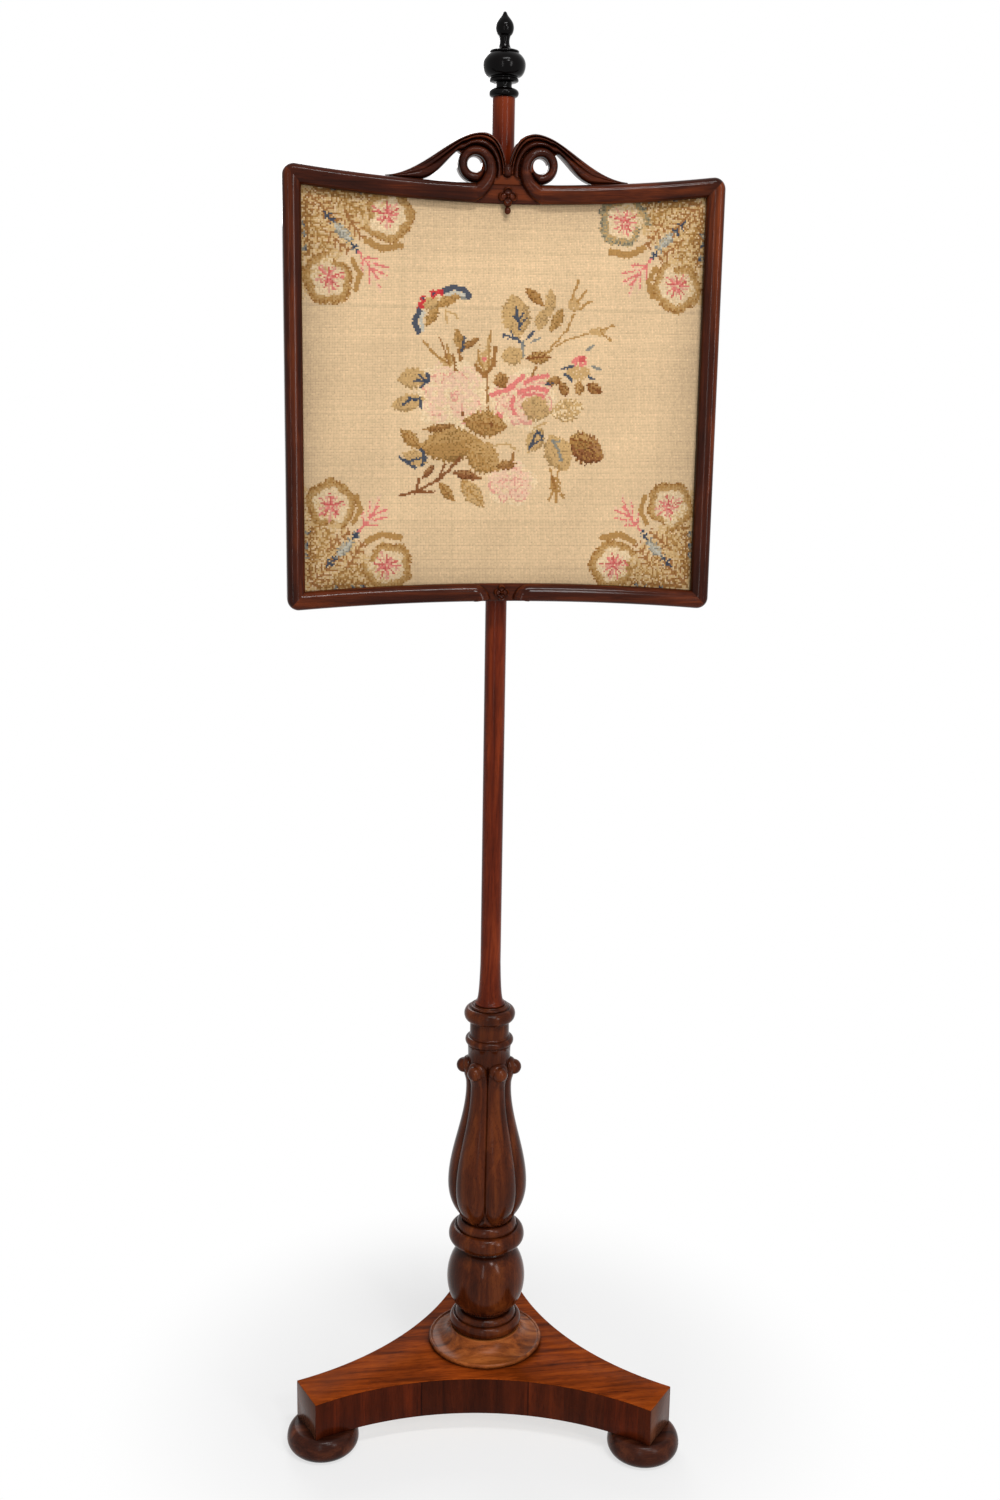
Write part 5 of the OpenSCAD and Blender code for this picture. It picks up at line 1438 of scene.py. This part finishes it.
def eased(node, finish, body, slot, round_by, steps=2):
    """A copy of a node's mesh with its sharp edges rounded by some tenths of a millimetre."""
    bm = bmesh.new()
    bm.from_mesh(nodes[node].data)
    bmesh.ops.remove_doubles(bm, verts=bm.verts, dist=MERGE)
    bmesh.ops.dissolve_limit(bm, angle_limit=math.radians(FLAT), verts=bm.verts, edges=bm.edges)
    crisp = [e for e in bm.edges if len(e.link_faces) == 2 and e.calc_face_angle(0) > math.radians(CRISP)]
    bmesh.ops.bevel(bm, geom=crisp, offset=round_by * MM, segments=steps, profile=0.5, affect="EDGES",
                    clamp_overlap=True, material=-1)
    finish_piece("eased_" + node, bm, finish, body, slot, node, sharp=CRISP)


eased("platform_core", wood_deal, "stand", "deal", 0.3)
eased("platform_top_veneer", wood_top, "stand", "top_veneer", 0.4)
for node in ("front_side_veneer", "right_side_veneer", "left_side_veneer"):
    eased(node, wood_side, "stand", "rosewood", 0.2)
for node in ("front_left_end_veneer", "front_right_end_veneer", "rear_end_veneer"):
    eased(node, wood_end, "stand", "rosewood", 0.2)
eased("tenon_wedge", wood_deal, "stand", "deal", 0.3)
for node in STRAINER:
    eased(node, wood_deal, "screen", "deal", 0.5)
eased("corner_dowels", wood_deal, "screen", "deal", 0.3)
eased("lining_tacks", brass, "screen", "brass", 0.25)
eased("panel_brads", iron, "screen", "iron", 0.15)
for node in ("upper_slide_bracket", "lower_slide_bracket"):
    eased(node, brass, "screen", "brass", 0.6, steps=3)
for node in ("upper_slide_screws", "lower_slide_screws"):
    eased(node, brass, "screen", "brass", 0.2)
for node in ("upper_bush", "lower_bush"):
    eased(node, bush_leather, "slides", "leather", 0.4)
eased("thumbscrew", brass, "thumbscrew", "brass", 0.4, steps=3)
print("pieces with a finish:", len(PIECES))

# %% [markdown]
# ## The studio
# The photograph is a cut-out on white. A pale floor fades to plain white a short way from the object,
# for the camera, mirrors and glass only, so the light on the object doesn't change.

# %% Floor and world
FLOOR_R, FADE_FROM, FADE_TO, NEAR_WHITE = 6.0, 0.2, 0.45, 0.65
FLOOR_GREY = (0.86, 0.86, 0.86, 1)
WORLD_LEVEL = 0.16


def white_for_the_eye(tree):
    """1 for rays that the camera, a mirror or glass sends, and 0 for the rays that light the object."""
    path = add(tree, "ShaderNodeLightPath")
    seen = add(tree, "ShaderNodeMath", {"operation": "MAXIMUM"}, _0=path.outputs["Is Camera Ray"],
               _1=path.outputs["Is Glossy Ray"])
    return add(tree, "ShaderNodeMath", {"operation": "MAXIMUM"}, _0=seen.outputs[0],
               _1=path.outputs["Is Transmission Ray"]).outputs[0]


def studio_floor():
    bm = bmesh.new()
    bmesh.ops.create_circle(bm, cap_ends=True, radius=FLOOR_R, segments=64)
    mesh = bpy.data.meshes.new("studio_floor")
    bm.to_mesh(mesh)
    bm.free()
    floor = bpy.data.objects.new("studio_floor", mesh)
    bpy.context.scene.collection.objects.link(floor)
    material, tree, shader = new_material("floor_white")
    place = add(tree, "ShaderNodeTexCoord").outputs["Object"]
    reach = add(tree, "ShaderNodeVectorMath", {"operation": "LENGTH"}, _0=place)
    far = add(tree, "ShaderNodeMapRange", {"interpolation_type": "SMOOTHSTEP"}, Value=reach.outputs["Value"],
              From_Min=FADE_FROM, From_Max=FADE_TO, To_Min=NEAR_WHITE)
    share = add(tree, "ShaderNodeMath", {"operation": "MULTIPLY"}, _0=far.outputs[0],
                _1=white_for_the_eye(tree))
    shader.inputs["Base Color"].default_value = FLOOR_GREY
    shader.inputs["Roughness"].default_value = 0.9
    glow = add(tree, "ShaderNodeEmission", None, Color=(*WHITE, 1), Strength=1.0)
    both = add(tree, "ShaderNodeMixShader", None, _0=share.outputs[0], _1=shader.outputs[0],
               _2=glow.outputs[0])
    tree.links.new(both.outputs[0], tree.nodes["Material Output"].inputs["Surface"])
    floor.data.materials.append(material)


def studio_world():
    world = bpy.data.worlds.new("studio_world")
    world.use_nodes = True
    tree = world.node_tree
    backdrop = tree.nodes["Background"]
    backdrop.inputs["Color"].default_value = (*WHITE, 1)
    level = add(tree, "ShaderNodeMapRange", None, Value=white_for_the_eye(tree), To_Min=WORLD_LEVEL,
                To_Max=1.0)
    tree.links.new(level.outputs[0], backdrop.inputs["Strength"])
    bpy.context.scene.world = world


studio_floor()
studio_world()
print("floor of", FLOOR_R, "m, world at", WORLD_LEVEL)

# %% [markdown]
# ## Lamps
# Polished wood is seen by its highlights. A small key box gives the short ones, two upright strips
# draw long lines down the pole and the stiles, a strip above lights the platform,
# and a box behind lights the back.

# %% Soft boxes
def soft_box(name, place, aim, size, watts):
    data = bpy.data.lights.new(name, "AREA")
    data.shape = "RECTANGLE"
    data.size, data.size_y = size
    data.energy = watts
    lamp = bpy.data.objects.new(name, data)
    lamp.location = place
    lamp.rotation_euler = (Vector(aim) - Vector(place)).to_track_quat("-Z", "Y").to_euler()
    bpy.context.scene.collection.objects.link(lamp)


soft_box("key_box", (1.0, -2.3, 2.3), (0, 0, 0.9), (0.36, 0.36), 17)
soft_box("front_strip", (-0.35, -2.4, 1.1), (0, 0, 0.9), (0.12, 1.6), 7)
soft_box("right_strip", (1.5, -1.9, 1.25), (0, 0, 1.1), (0.25, 1.1), 13)
soft_box("top_strip", (0.45, -1.6, 2.95), (0, 0, 0.7), (1.3, 0.22), 40)
soft_box("back_box", (-0.6, 2.2, 2.0), (0, 0, 0.9), (1.2, 1.2), 20)
bpy.context.scene.view_settings.view_transform = "Standard"
print("lamps:", [lamp.name for lamp in bpy.data.lights])
